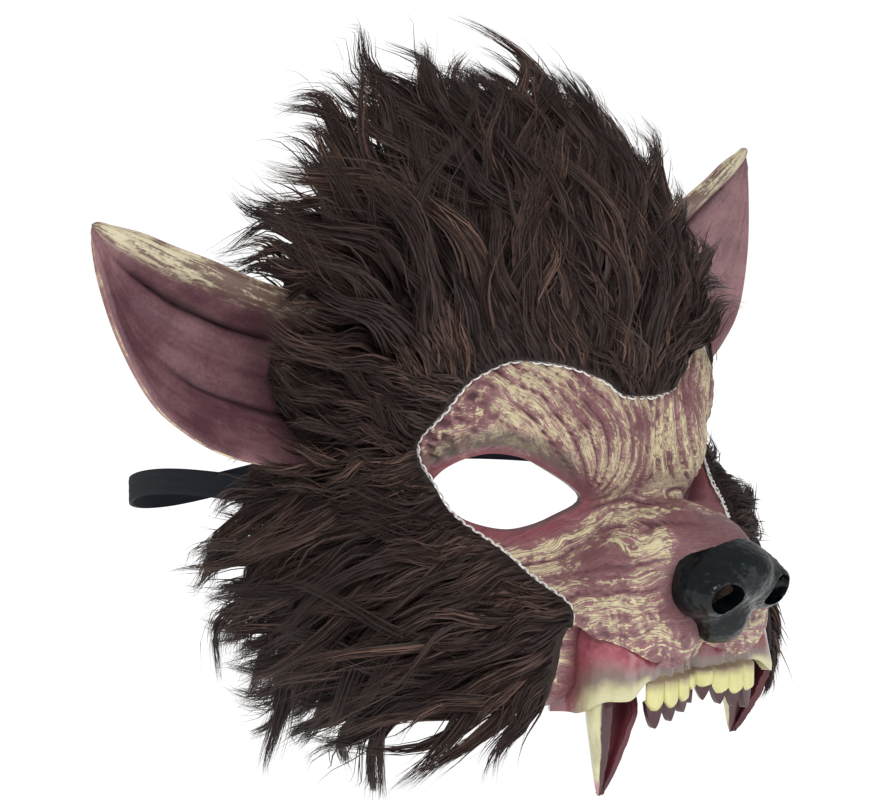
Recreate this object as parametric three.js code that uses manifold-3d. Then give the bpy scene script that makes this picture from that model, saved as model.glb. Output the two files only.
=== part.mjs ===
// A werewolf half mask: a cast latex face with ears, nose, gums, teeth and fangs, long-pile fur
// sewn on round the face, and a flat elastic strap. Millimetres. The mask faces -Y, +Z is up and
// +X is the wearer's left. The origin lies midway between the wearer's eyes.
import * as THREE from 'three';
import { mergeVertices } from 'three/addons/utils/BufferGeometryUtils.js';
import Module from 'manifold-3d';

const wasm = await Module();
wasm.setup();

// Driving sizes of the head that the mask covers
const headHalfWidth = 70;
const headDepth = 82;
const headHeight = 80;

// Driving sizes of the muzzle, from the eye line forward and down
const muzzleHalfWidth = 45;
const muzzleLength = 62;
const muzzleHeight = 50;

// Walls and the gap between neighbouring pieces
const latexWall = 3;
const furBacking = 2.6;
const clearance = 0.3;
const facetAllowance = 0.8;

// Eye holes
const eyeLength = 42.5;
const eyeHeight = 22;
const eyeInnerX = 19;
const eyeInnerY = -7;
const eyeInnerZ = 1.2;
const eyeTurn = THREE.MathUtils.degToRad(26);
const eyeTilt = THREE.MathUtils.degToRad(6);
const eyeCorners = 28;

// Nose
const noseHalfWidth = 17;
const noseDepth = 20;
const noseHeight = 15;
const noseY = -46;
const noseZ = -21;
const noseBackY = -43;
const nostrilHalfWidth = 5.5;
const nostrilHalfDepth = 10;
const nostrilHalfHeight = 4.5;
const nostrilTurn = THREE.MathUtils.degToRad(24);

// Gums, teeth and fangs
const gumThickness = 4;
const gumOverlap = 6;
const gumLineZ = -47.5;
const gumRearDrop = 9;
const toothWidth = 5.8;
const toothLength = 8.5;
const toothMargin = 5;
const toothWall = 2.2;
const toothRelief = 1.3;
const fangX = 31;
const fangLength = 39;
const fangRootRadius = 7.6;
const fangWall = 2;
const fangTopZ = -42;

// Ears
const earLength = 69;
const earHeight = 50;
const earCup = 15;
const earWall = 3;
const earRootY = 48;
const earRootZ = 35;
const earBackTurn = THREE.MathUtils.degToRad(10);
const earLean = THREE.MathUtils.degToRad(9);
const leftEarLift = THREE.MathUtils.degToRad(3);
const leftEarBackTurn = THREE.MathUtils.degToRad(2);
const leftEarRaise = 8;

// Fur: the depth of the pile on its backing, and its locks
const crownPile = 22;
const sidePile = 8;
const cheekPile = 15;
const pileGrowth = THREE.MathUtils.degToRad(26);
const lockLength = 46;
const lockWidth = 22;
const lockThickness = 12;
const furSplitZ = 3;

// Strap and its rivets
const strapWidth = 8;
const strapThickness = 1.2;
const strapAttachY = 50;
const strapAttachZ = -2;
const strapReach = 143;
const strapDrop = 20;
const strapTab = 8;
const rivetShankRadius = 1.5;
const rivetHeadRadius = 3.2;
const rivetHeadThickness = 1;

// The sampling of the star-shaped surfaces
const faceRings = 15;
const ringCrowding = 1.15;
const backRings = 3;
const faceSegments = 36;
const shellRim = THREE.MathUtils.degToRad(104);
const poleDip = THREE.MathUtils.degToRad(7);

const X = new THREE.Vector3(1, 0, 0);
const Y = new THREE.Vector3(0, 1, 0);
const Z = new THREE.Vector3(0, 0, 1);
const vec = (x, y, z) => new THREE.Vector3(x, y, z);
const lerp = THREE.MathUtils.lerp;
const smoothstep = THREE.MathUtils.smoothstep;

// The face as rounded forms that run into each other. Places and half sizes are shares of the
// head's half width, depth and height. Each row with a side above 0 stands on both sides, and
// one that carves is taken away.
const head = { wide: headHalfWidth, deep: headDepth, tall: headHeight };
const headForms = [
  { name: 'skull', side: 0, y: 0.76, z: 0.19, wide: 1, deep: 1, tall: 1, turn: 0, blend: 1 },
  { name: 'cheekbone', side: 0.6, y: 0.15, z: -0.2, wide: 0.3, deep: 0.27, tall: 0.26, turn: 20, blend: 14 },
  { name: 'jaw angle', side: 0.56, y: 0.4, z: -0.42, wide: 0.3, deep: 0.4, tall: 0.32, turn: 0, blend: 16 },
];
const muzzle = { wide: muzzleHalfWidth, deep: muzzleLength, tall: muzzleHeight };
const muzzleForms = [
  { name: 'bridge', side: 0, y: -0.38, z: -0.27, wide: 0.4, deep: 0.5, tall: 0.26, turn: 0, blend: 9 },
  { name: 'lip pad', side: 0.3, y: -0.31, z: -0.66, wide: 0.56, deep: 0.41, tall: 0.5, turn: 26, blend: 8 },
  { name: 'jowl', side: 0.84, y: 0.02, z: -0.95, wide: 0.42, deep: 0.46, tall: 0.6, turn: 0, blend: 12 },
];
const browForms = [
  {
    name: 'eye socket', side: 0.64, y: -0.165, z: 0.04, wide: 0.41, deep: 0.21, tall: 0.18,
    turn: 26, blend: 7, carves: true,
  },
  { name: 'mid brow', side: 0.22, y: -0.09, z: 0.17, wide: 0.18, deep: 0.17, tall: 0.2, turn: 20, blend: 7 },
  { name: 'outer brow', side: 0.5, y: 0.08, z: 0.33, wide: 0.32, deep: 0.15, tall: 0.19, turn: 30, blend: 9 },
  { name: 'lower lid', side: 0.5, y: 0.04, z: -0.14, wide: 0.34, deep: 0.12, tall: 0.06, turn: 26, blend: 7 },
];

function placeForms(rows, size) {
  return rows.map((row) => ({
    centre: vec(row.side * size.wide, row.y * size.deep, row.z * size.tall),
    half: vec(row.wide * size.wide, row.deep * size.deep, row.tall * size.tall),
    cos: Math.cos(THREE.MathUtils.degToRad(row.turn)),
    sin: Math.sin(THREE.MathUtils.degToRad(row.turn)),
    blend: row.blend,
    carves: row.carves,
  }));
}

// The distance to one ellipsoid, nearly true close to its surface
function formDistance(form, p) {
  const x = Math.abs(p.x) - form.centre.x;
  const y = p.y - form.centre.y;
  const u = (x * form.cos + y * form.sin) / form.half.x;
  const v = (y * form.cos - x * form.sin) / form.half.y;
  const w = (p.z - form.centre.z) / form.half.z;
  const near = Math.hypot(u, v, w);
  const steep = Math.hypot(u / form.half.x, v / form.half.y, w / form.half.z);
  return steep > 0 ? (near * (near - 1)) / steep : -Math.min(form.half.x, form.half.y, form.half.z);
}

function softMin(a, b, blend) {
  const mix = Math.max(blend - Math.abs(a - b), 0) / blend;
  return Math.min(a, b) - (mix * mix * blend) / 4;
}

function makeField(forms) {
  return (p) => {
    let distance = formDistance(forms[0], p);
    for (const form of forms.slice(1)) {
      const next = formDistance(form, p);
      const added = softMin(distance, next, form.blend);
      distance = form.carves ? -softMin(-distance, next, form.blend) : added;
    }
    return distance;
  };
}

const faceField = makeField([
  ...placeForms(headForms, head),
  ...placeForms(muzzleForms, muzzle),
  ...placeForms(browForms, head),
]);
const faceCentre = vec(0, 0.55 * headDepth, -0.06 * headHeight);

// How far a ray runs from its start until the field passes a level
function reach(field, start, direction, level) {
  const stride = 2.5;
  const limit = 3 * headDepth;
  let near = 0;
  let far = stride;
  const at = (t) => field(start.clone().addScaledVector(direction, t)) - level;
  while (far < limit && at(far) < 0) {
    near = far;
    far += stride;
  }
  for (let turn = 0; turn < 22; turn += 1) {
    const middle = (near + far) / 2;
    if (at(middle) < 0) {
      near = middle;
    } else {
      far = middle;
    }
  }
  return (near + far) / 2;
}

function surfaceNormal(field, p) {
  const step = 0.5;
  const slope = (axis) => {
    const ahead = field(p.clone().addScaledVector(axis, step));
    const behind = field(p.clone().addScaledVector(axis, -step));
    return ahead - behind;
  };
  return vec(slope(X), slope(Y), slope(Z)).normalize();
}

// Solids from three.js geometry and back
function solidOf(geometry) {
  const bare = geometry.clone();
  bare.deleteAttribute('normal');
  bare.deleteAttribute('uv');
  const merged = mergeVertices(bare, 1e-4);
  const corners = new Uint32Array(merged.index.array);
  const build = () => {
    const mesh = new wasm.Mesh({
      numProp: 3,
      vertProperties: new Float32Array(merged.attributes.position.array),
      triVerts: corners,
    });
    return new wasm.Manifold(mesh);
  };
  const solid = build();
  if (solid.volume() > 0) return solid;
  for (let i = 0; i < corners.length; i += 3) {
    [corners[i], corners[i + 1]] = [corners[i + 1], corners[i]];
  }
  return build();
}

// The largest body of a solid, so that no crumb or sealed bubble is left beside it
function mainBody(solid) {
  const bodies = solid.decompose();
  return bodies.reduce((best, body) => (body.volume() > best.volume() ? body : best));
}

function geometryOf(solid) {
  const mesh = mainBody(solid).getMesh();
  const geometry = new THREE.BufferGeometry();
  geometry.setAttribute('position', new THREE.BufferAttribute(new Float32Array(mesh.vertProperties), 3));
  geometry.setIndex(new THREE.BufferAttribute(new Uint32Array(mesh.triVerts), 1));
  geometry.computeVertexNormals();
  return geometry;
}

// Triangles of a grid of points, left out where two corners are the same point
function facets(grid, wraps, flipped) {
  const triangles = [];
  const add = (a, b, c) => {
    if (a.distanceTo(b) > 1e-5 && b.distanceTo(c) > 1e-5 && c.distanceTo(a) > 1e-5) {
      triangles.push(...(flipped ? [a, c, b] : [a, b, c]));
    }
  };
  for (let row = 0; row + 1 < grid.length; row += 1) {
    const columns = grid[row].length;
    for (let column = 0; column < (wraps ? columns : columns - 1); column += 1) {
      const next = (column + 1) % columns;
      add(grid[row][column], grid[row + 1][column], grid[row + 1][next]);
      add(grid[row][column], grid[row + 1][next], grid[row][next]);
    }
  }
  return triangles;
}

function solidOfTriangles(corners) {
  return solidOf(new THREE.BufferGeometry().setFromPoints(corners));
}

// A sheet with a front and a back grid, closed all round its edge
function sheetSolid(front, back) {
  const rows = front.length;
  const columns = front[0].length;
  const edge = [];
  for (let column = 0; column < columns; column += 1) edge.push([0, column]);
  for (let row = 1; row < rows; row += 1) edge.push([row, columns - 1]);
  for (let column = columns - 2; column >= 0; column -= 1) edge.push([rows - 1, column]);
  for (let row = rows - 2; row >= 1; row -= 1) edge.push([row, 0]);
  const band = [edge.map(([r, c]) => front[r][c]), edge.map(([r, c]) => back[r][c])];
  return solidOfTriangles([
    ...facets(front, false, false),
    ...facets(back, false, true),
    ...facets(band, true, true),
  ]);
}

// A direction by its angle from the front and its angle round the front, with the front dipped
function directionAt(fromFront, round, dip) {
  const aside = Math.sin(fromFront);
  const direction = vec(aside * Math.cos(round), -Math.cos(fromFront), aside * Math.sin(round));
  return direction.applyAxisAngle(X, dip);
}

// A closed surface where a field passes a level, seen from a point inside it. The level may
// change with the angle from the front and the angle round.
function starSolid(field, centre, level, ringAngles, segments, dip) {
  const levelAt = typeof level === 'function' ? level : () => level;
  const grid = ringAngles.map((angle) => {
    const ring = [];
    for (let segment = 0; segment < segments; segment += 1) {
      const round = (2 * Math.PI * segment) / segments + Math.PI / 2;
      const direction = directionAt(angle, round, dip);
      const distance = reach(field, centre, direction, levelAt(angle, round));
      ring.push(centre.clone().addScaledVector(direction, distance));
    }
    return Math.sin(angle) < 1e-6 ? ring.map(() => ring[0]) : ring;
  });
  return solidOfTriangles(facets(grid, true, false));
}

const faceRingAngles = [];
for (let ring = 0; ring <= faceRings; ring += 1) {
  faceRingAngles.push(shellRim * (ring / faceRings) ** ringCrowding);
}
for (let ring = 1; ring <= backRings; ring += 1) {
  faceRingAngles.push(lerp(shellRim, Math.PI, ring / backRings));
}
const faceSurface = (level) => (
  starSolid(faceField, faceCentre, level, faceRingAngles, faceSegments, poleDip)
);

// A prism over a flat outline. Its place and axes come as a matrix.
function prism(outline, depth, matrix) {
  const shape = new THREE.Shape(outline.map((p) => new THREE.Vector2(p.x, p.y)));
  const geometry = new THREE.ExtrudeGeometry(shape, { depth, bevelEnabled: false, steps: 1 });
  return solidOf(geometry.applyMatrix4(matrix));
}

function axesAt(x, y, z, place) {
  return new THREE.Matrix4().makeBasis(x, y, z).setPosition(place);
}

function smoothLoop(points, count) {
  return new THREE.CatmullRomCurve3(points, true, 'centripetal').getPoints(count).slice(0, -1);
}

// The height of the lip's edge against the depth, and the mask's lower and rear rim, seen from
// the side. Depth is a share of the muzzle or head depth and height a share of the same.
const lipEdge = [
  { deep: -0.95, tall: -0.92 },
  { deep: -0.71, tall: -0.91 },
  { deep: -0.67, tall: -0.84 },
  { deep: -0.63, tall: -0.765 },
  { deep: -0.56, tall: -0.705 },
  { deep: -0.51, tall: -0.69 },
  { deep: -0.42, tall: -0.64 },
];
const rearRim = [
  { deep: -0.27, tall: -0.665 },
  { deep: 0.1, tall: -0.69 },
  { deep: 0.45, tall: -0.66 },
  { deep: 0.7, tall: -0.5 },
  { deep: 0.8, tall: -0.1 },
  { deep: 0.83, tall: 0.4 },
  { deep: 0.84, tall: 1.4 },
];

function lipHeight(y) {
  const rows = lipEdge.map((row) => ({ y: row.deep * muzzleLength, z: row.tall * muzzleHeight }));
  if (y <= rows[0].y) return rows[0].z;
  for (let i = 1; i < rows.length; i += 1) {
    const before = rows[i - 1];
    if (y <= rows[i].y) {
      return lerp(before.z, rows[i].z, (y - before.y) / (rows[i].y - before.y));
    }
  }
  return rows[rows.length - 1].z;
}

function sideOutline() {
  const lip = lipEdge.map((row) => vec(row.deep * muzzleLength, row.tall * muzzleHeight, 0));
  const rim = rearRim.map((row) => vec(row.deep * headDepth, row.tall * headHeight, 0));
  const front = -2 * muzzleLength;
  const top = rim[rim.length - 1].y;
  return [vec(front, top, 0), vec(front, lip[0].y, 0), ...lip, ...rim];
}

const acrossHead = 2.4 * headHalfWidth;
const trimAt = (height) => (
  prism(sideOutline(), acrossHead, axesAt(Y, Z, X, vec(-acrossHead / 2, 0, height)))
);
const sideTrim = trimAt(0);

// The edge of the fur round the bare face, seen from the front, as shares of the head's half
// width and height, from the widow's peak down the right side
const furEdge = [
  { wide: 0.15, tall: 0.38 },
  { wide: 0.22, tall: 0.43 },
  { wide: 0.37, tall: 0.49 },
  { wide: 0.55, tall: 0.515 },
  { wide: 0.64, tall: 0.495 },
  { wide: 0.745, tall: 0.435 },
  { wide: 0.825, tall: 0.32 },
  { wide: 0.855, tall: 0.225 },
  { wide: 0.835, tall: 0.105 },
  { wide: 0.8, tall: -0.025 },
  { wide: 0.69, tall: -0.16 },
  { wide: 0.585, tall: -0.3 },
  { wide: 0.6, tall: -0.4 },
  { wide: 0.65, tall: -0.54 },
  { wide: 0.68, tall: -0.665 },
  { wide: 0.69, tall: -1.2 },
];
const widowsPeak = { wide: 0, tall: 0.365 };

function furOpening() {
  const side = (sign) => furEdge.map((row) => vec(sign * row.wide * headHalfWidth, row.tall * headHeight, 0));
  const peak = vec(widowsPeak.wide * headHalfWidth, widowsPeak.tall * headHeight, 0);
  return [peak, ...side(-1), ...side(1).reverse()];
}

const furOpeningOutline = furOpening();
const furOpeningPlace = axesAt(X, Z, Y.clone().negate(), vec(0, 2 * headDepth, 0));
const furOpeningCut = prism(furOpeningOutline, 4 * headDepth, furOpeningPlace);

// Eye holes: an almond, its rows shares of the eye's length and height
const eyeOutline = [
  { along: 0, rise: 0 },
  { along: 0.33, rise: 0.4 },
  { along: 0.63, rise: 0.51 },
  { along: 0.85, rise: 0.37 },
  { along: 1, rise: 0.07 },
  { along: 0.955, rise: -0.14 },
  { along: 0.81, rise: -0.35 },
  { along: 0.61, rise: -0.46 },
  { along: 0.41, rise: -0.46 },
  { along: 0.165, rise: -0.3 },
];

// Pieces that stand on both sides are made on the left and mirrored for the right
const onSide = (side) => new THREE.Matrix4().makeScale(side, 1, 1);

function eyeCut(side) {
  const along = vec(Math.cos(eyeTurn), Math.sin(eyeTurn), 0);
  const facing = vec(Math.sin(eyeTurn), -Math.cos(eyeTurn), 0);
  const turned = along.clone().applyAxisAngle(facing, eyeTilt);
  const corners = eyeOutline.map((row) => vec(row.along * eyeLength, row.rise * eyeHeight, 0));
  const depth = headDepth;
  const place = vec(eyeInnerX, eyeInnerY, eyeInnerZ).addScaledVector(facing, -depth / 2);
  const axes = axesAt(turned, facing.clone().cross(turned), facing, place);
  return prism(smoothLoop(corners, eyeCorners), depth, axes.premultiply(onSide(side)));
}

// Nose
const noseForms = placeForms([
  { name: 'ball', side: 0, y: 0.1, z: 0.2, wide: 0.8, deep: 0.9, tall: 0.72, turn: 0, blend: 1 },
  { name: 'wing', side: 0.55, y: 0.02, z: -0.02, wide: 0.5, deep: 0.66, tall: 0.6, turn: 20, blend: 4 },
  { name: 'lip join', side: 0, y: 0.15, z: -0.6, wide: 0.45, deep: 0.6, tall: 0.6, turn: 0, blend: 5 },
], { wide: noseHalfWidth, deep: noseDepth, tall: noseHeight });
for (const form of noseForms) form.centre.add(vec(0, noseY, noseZ));
const noseField = makeField(noseForms);
const noseCentre = vec(0, noseY, noseZ);
const noseRingAngles = [0, 16, 32, 48, 64, 82, 105, 140, 180].map(THREE.MathUtils.degToRad);
const noseSegments = 14;
const noseSurface = (level) => (
  starSolid(noseField, noseCentre, level, noseRingAngles, noseSegments, 0)
);

// Nostrils, their place as shares of the nose's half width, depth and height
const nostrilPlace = { side: 0.66, ahead: -0.62, up: -0.16 };

function nostrilCut(side) {
  const hole = new THREE.SphereGeometry(1, 12, 8);
  hole.scale(nostrilHalfWidth, nostrilHalfDepth, nostrilHalfHeight);
  hole.rotateZ(nostrilTurn);
  hole.translate(
    nostrilPlace.side * noseHalfWidth,
    noseY + nostrilPlace.ahead * noseDepth,
    noseZ + nostrilPlace.up * noseHeight,
  );
  return solidOf(hole.applyMatrix4(onSide(side)));
}

function boxSolid(low, high) {
  const size = high.clone().sub(low);
  const middle = low.clone().add(high).multiplyScalar(0.5);
  const box = new THREE.BoxGeometry(size.x, size.y, size.z);
  return solidOf(box.translate(middle.x, middle.y, middle.z));
}

const behindNose = boxSolid(
  vec(-headHalfWidth, noseBackY, -headHeight),
  vec(headHalfWidth, headDepth, headHeight),
);
const noseSolid = noseSurface(0)
  .subtract(noseSurface(-latexWall))
  .subtract(behindNose)
  .subtract(nostrilCut(1))
  .subtract(nostrilCut(-1));

// The arch that gums, teeth and fangs follow, seen from above
const archY = -5;
const archStart = vec(0, archY, 0);
const archGuess = 0.7;
const lipMargin = 2;

function archPoint(angle, z, inset) {
  const direction = vec(Math.sin(angle), -Math.cos(angle), 0);
  const fixed = archStart.clone().setZ(z);
  let y = archY - muzzleLength * archGuess * Math.cos(angle);
  let distance = 0;
  for (let turn = 0; turn < 3; turn += 1) {
    const start = fixed.clone().setZ(Math.max(z, lipHeight(y) + lipMargin));
    distance = reach(faceField, start, direction, -latexWall - clearance);
    y = archY - distance * Math.cos(angle);
  }
  return fixed.addScaledVector(direction, distance - inset);
}

function archAngleAt(x) {
  let low = 0;
  let high = Math.PI / 2;
  for (let turn = 0; turn < 30; turn += 1) {
    const middle = (low + high) / 2;
    if (archPoint(middle, gumLineZ, 0).x < x) {
      low = middle;
    } else {
      high = middle;
    }
  }
  return (low + high) / 2;
}

const gumEndAngle = THREE.MathUtils.degToRad(72);
const fangAngle = archAngleAt(fangX);

// The gum's lower edge is level in front and sinks behind the fang
const gumDrop = { from: fangAngle - 0.05, to: fangAngle + 0.22 };

function gumBottom(angle) {
  return gumLineZ - gumRearDrop * smoothstep(Math.abs(angle), gumDrop.from, gumDrop.to);
}

function bandSolid(angles, levels, heightAt, insetAt) {
  const grid = (layer) => levels.map((share) => angles.map((angle) => {
    const z = heightAt(angle, share);
    return archPoint(angle, z, insetAt(angle, z, layer));
  }));
  return sheetSolid(grid(0), grid(1));
}

function evenAngles(end, count) {
  return Array.from({ length: count + 1 }, (_, i) => lerp(-end, end, i / count));
}

function gumTop(angle) {
  return lipHeight(archPoint(angle, gumLineZ, 0).y - latexWall) + gumOverlap;
}

const gumSolid = bandSolid(
  evenAngles(gumEndAngle, 22),
  [0, 0.4, 1],
  (angle, share) => lerp(gumTop(angle), gumBottom(angle), share),
  (angle, z, layer) => layer * gumThickness,
);

// Front teeth: one row for each tooth from the middle outwards, lengths as shares of the
// tooth's length and of the uncut margin below it
const teeth = [
  { name: 'first', cream: 0.62, margin: 0.75, point: 1.1 },
  { name: 'second', cream: 0.9, margin: 0.6, point: 1.3 },
  { name: 'third', cream: 1, margin: 0.75, point: 1.1 },
  { name: 'fourth', cream: 1, margin: 1, point: 1.7 },
];
const toothStep = archAngleAt(toothWidth * teeth.length) / teeth.length;
const toothColumns = 4;
const toothSquareness = 2.4;
const toothSideLength = 0.45;

function toothAt(angle) {
  const place = Math.min(Math.abs(angle) / toothStep, teeth.length - 1e-6);
  const row = teeth[Math.floor(place)];
  const across = 2 * (place % 1) - 1;
  return {
    row,
    round: Math.max(1 - Math.abs(across) ** toothSquareness, 0),
    point: Math.max(1 - Math.abs(across) ** row.point, 0),
  };
}

function toothBottom(angle) {
  const { row, round, point } = toothAt(angle);
  const cream = row.cream * toothLength * lerp(toothSideLength, 1, round);
  return gumLineZ - clearance - cream - row.margin * toothMargin * point;
}

function toothProud(angle, z) {
  const { row, round } = toothAt(angle);
  const below = (gumLineZ - z) / (row.cream * toothLength);
  return toothRelief * Math.sqrt(round) * (1 - smoothstep(below, 0.85, 1.1));
}

const teethSolid = bandSolid(
  evenAngles(toothStep * teeth.length, 2 * teeth.length * toothColumns),
  [0, 0.45, 0.75, 1],
  (angle, share) => lerp(gumLineZ - clearance, toothBottom(angle), share),
  (angle, z, layer) => (layer ? toothWall : -toothProud(angle, z)),
);

// Fangs: a tapering wall bent round most of a circle and open to the front
const fangSections = [
  { along: 0, radius: 0.5, lean: 0 },
  { along: 0.06, radius: 0.82, lean: 0.02 },
  { along: 0.18, radius: 1, lean: 0.02 },
  { along: 0.36, radius: 0.97, lean: 0 },
  { along: 0.55, radius: 0.78, lean: -0.06 },
  { along: 0.75, radius: 0.52, lean: -0.16 },
  { along: 0.9, radius: 0.3, lean: -0.26 },
  { along: 1, radius: 0.1, lean: -0.34 },
];
const fangOpenSide = THREE.MathUtils.degToRad(-100);
const fangWrap = THREE.MathUtils.degToRad(250);
const fangFacets = 7;
const fangRoomFacets = 14;
const fangInset = 0.42;
const fangDepthShare = 0.9;
const fangLeanShare = 0.3;
const leastHollow = 0.12;
const fangLengths = { left: 0.76, right: 1 };

function fangPoint(row, share, wall, lengthShare) {
  const root = archPoint(fangAngle, gumLineZ, fangInset * fangRootRadius);
  const angle = fangOpenSide + Math.PI + fangWrap * (share - 0.5);
  const outer = row.radius * fangRootRadius;
  const radius = Math.max(outer - wall, leastHollow * outer);
  return vec(
    root.x + radius * Math.cos(angle),
    root.y - row.lean * fangLeanShare * fangLength + fangDepthShare * radius * Math.sin(angle),
    fangTopZ - row.along * fangLength * lengthShare,
  );
}

function fangSolid(side, lengthShare, grown) {
  const shares = Array.from({ length: fangFacets + 1 }, (_, i) => i / fangFacets);
  const layer = (wall) => fangSections.map((row) => (
    shares.map((share) => fangPoint(row, share, wall, lengthShare).applyMatrix4(onSide(side)))
  ));
  return sheetSolid(layer(-grown), layer(fangWall + grown));
}

// The room that a fang takes in the gum: its full round outline, grown by the clearance
function fangRoom(side, lengthShare) {
  const rings = fangSections.map((row) => {
    const ring = [];
    for (let i = 0; i < fangRoomFacets; i += 1) {
      const share = 0.5 + ((i / fangRoomFacets) * 2 * Math.PI) / fangWrap;
      ring.push(fangPoint(row, share, -clearance, lengthShare).applyMatrix4(onSide(side)));
    }
    return ring;
  });
  const middle = (ring, lift) => {
    const centre = ring.reduce((sum, p) => sum.add(p), vec(0, 0, 0)).multiplyScalar(1 / ring.length);
    return ring.map(() => centre.clone().setZ(centre.z + lift));
  };
  const grid = [middle(rings[0], clearance), ...rings, middle(rings[rings.length - 1], -clearance)];
  return solidOfTriangles(facets(grid, true, false));
}

const fangRooms = fangRoom(1, fangLengths.left).add(fangRoom(-1, fangLengths.right));

// Ears: sections from the root out to the tip. Along is a share of the ear's length, top and
// bottom are shares of its height and cup and roll are shares of the depth of its cup.
const earSections = [
  { along: -0.12, top: 0.36, bottom: -0.48, cup: 0.8, roll: 0.25 },
  { along: 0.02, top: 0.44, bottom: -0.52, cup: 1, roll: 0.42 },
  { along: 0.16, top: 0.5, bottom: -0.51, cup: 1, roll: 0.5 },
  { along: 0.32, top: 0.58, bottom: -0.47, cup: 0.95, roll: 0.5 },
  { along: 0.48, top: 0.68, bottom: -0.4, cup: 0.85, roll: 0.46 },
  { along: 0.63, top: 0.76, bottom: -0.28, cup: 0.7, roll: 0.4 },
  { along: 0.78, top: 0.85, bottom: -0.09, cup: 0.5, roll: 0.32 },
  { along: 0.9, top: 0.9, bottom: 0.24, cup: 0.28, roll: 0.2 },
  { along: 0.97, top: 0.93, bottom: 0.58, cup: 0.1, roll: 0.08 },
  { along: 1, top: 0.92, bottom: 0.83, cup: 0.02, roll: 0.02 },
];
const earAcross = [0, 0.07, 0.16, 0.28, 0.45, 0.64, 0.82, 1];
// The rolled rim's place and width across the ear, and how the cup's hollow is shaped
const earRim = { place: 0.08, width: 0.09 };
const earBowl = { shift: 0.85, fullness: 0.8 };

function earDepth(row, share) {
  const bowl = Math.sin(Math.PI * share ** earBowl.shift) ** earBowl.fullness;
  const rim = Math.exp(-(((share - earRim.place) / earRim.width) ** 2));
  return earCup * (row.roll * rim - row.cup * bowl);
}

function earGrid(shift) {
  return earSections.map((row) => earAcross.map((share) => vec(
    row.along * earLength,
    lerp(row.top, row.bottom, share) * earHeight,
    earDepth(row, share) + shift,
  )));
}

const earRootX = reach(faceField, vec(0, earRootY, earRootZ), X, 0);

function earPlace(side) {
  const root = vec(earRootX, earRootY, earRootZ);
  const lift = side > 0 ? leftEarLift : 0;
  root.z += side > 0 ? leftEarRaise : 0;
  const turn = new THREE.Matrix4().makeRotationZ(side > 0 ? leftEarBackTurn : earBackTurn);
  const lean = new THREE.Matrix4().makeRotationX(-earLean);
  const upright = axesAt(X, Z, Y.clone().negate(), vec(0, 0, 0));
  const lifted = new THREE.Matrix4().makeRotationZ(lift);
  const place = new THREE.Matrix4().setPosition(root);
  place.multiply(turn).multiply(lean).multiply(upright).multiply(lifted);
  return place.premultiply(onSide(side));
}

function earSolid(side, grown) {
  const grid = (shift) => earGrid(shift).map((row) => row.map((p) => p.applyMatrix4(earPlace(side))));
  return sheetSolid(grid(grown), grid(-earWall - grown));
}

// The face shell, and the room that its wall takes
const filledShell = faceSurface(clearance);
const wallRoom = filledShell.subtract(faceSurface(-latexWall - clearance)).intersect(trimAt(-clearance));
const noseRoom = noseSurface(clearance);
const rightEar = earSolid(-1, 0).subtract(filledShell);
const leftEar = earSolid(1, 0).subtract(filledShell);

// Strap: one band that lies inside the shell at both temples and runs round the back of the head.
// It stays level along the sides and sinks behind the head.
function strapPath() {
  const inset = clearance + facetAllowance + strapThickness / 2;
  const wallAt = (y) => reach(faceField, vec(0, y, strapAttachZ), X, -latexWall) - inset;
  const wallX = wallAt(strapAttachY);
  const tabX = wallAt(strapAttachY - strapTab);
  const points = [vec(tabX, strapAttachY - strapTab, strapAttachZ)];
  const steps = 26;
  for (let i = 0; i <= steps; i += 1) {
    const turn = (Math.PI * i) / steps;
    points.push(vec(
      wallX * Math.cos(turn),
      strapAttachY + strapReach * Math.sin(turn),
      strapAttachZ - strapDrop * Math.sin(turn) ** 3,
    ));
  }
  points.push(vec(-tabX, strapAttachY - strapTab, strapAttachZ));
  return points;
}

function strapSolidOf(thickness, width) {
  const path = strapPath();
  const grid = (layer) => [-0.5, 0.5].map((row) => path.map((p, i) => {
    const along = path[Math.min(i + 1, path.length - 1)].clone().sub(path[Math.max(i - 1, 0)]);
    const outward = along.setZ(0).cross(Z).normalize();
    return p.clone().addScaledVector(outward, layer * thickness).addScaledVector(Z, row * width);
  }));
  return sheetSolid(grid(0.5), grid(-0.5));
}

// Rivets: a shank through shell and strap with a flat head at each end
const rivetY = strapAttachY - strapTab / 2;
const rivetGrip = latexWall + strapThickness + facetAllowance + 3 * clearance;

function rivetGeometry(shank, headRadius, grip, headThickness) {
  const half = grip / 2;
  const profile = [
    [0, -half - headThickness], [headRadius, -half - headThickness], [headRadius, -half], [shank, -half],
    [shank, half], [headRadius, half], [headRadius, half + headThickness], [0, half + headThickness],
  ];
  return new THREE.LatheGeometry(profile.map(([r, h]) => new THREE.Vector2(r, h)), 8);
}

function rivetMatrix(side) {
  const start = vec(0, rivetY, strapAttachZ);
  const outer = start.clone().addScaledVector(X, reach(faceField, start, X, clearance));
  const normal = surfaceNormal(faceField, outer);
  const middle = outer.addScaledVector(normal, -rivetGrip / 2);
  const turn = new THREE.Quaternion().setFromUnitVectors(Y, normal);
  const matrix = new THREE.Matrix4().makeRotationFromQuaternion(turn);
  return matrix.setPosition(middle).premultiply(onSide(side));
}

const rivetRoom = (side) => solidOf(rivetGeometry(
  rivetShankRadius + clearance,
  rivetHeadRadius + clearance,
  rivetGrip - 2 * clearance,
  rivetHeadThickness + 2 * clearance,
).applyMatrix4(rivetMatrix(side)));
const rivetRooms = rivetRoom(1).add(rivetRoom(-1));

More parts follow.
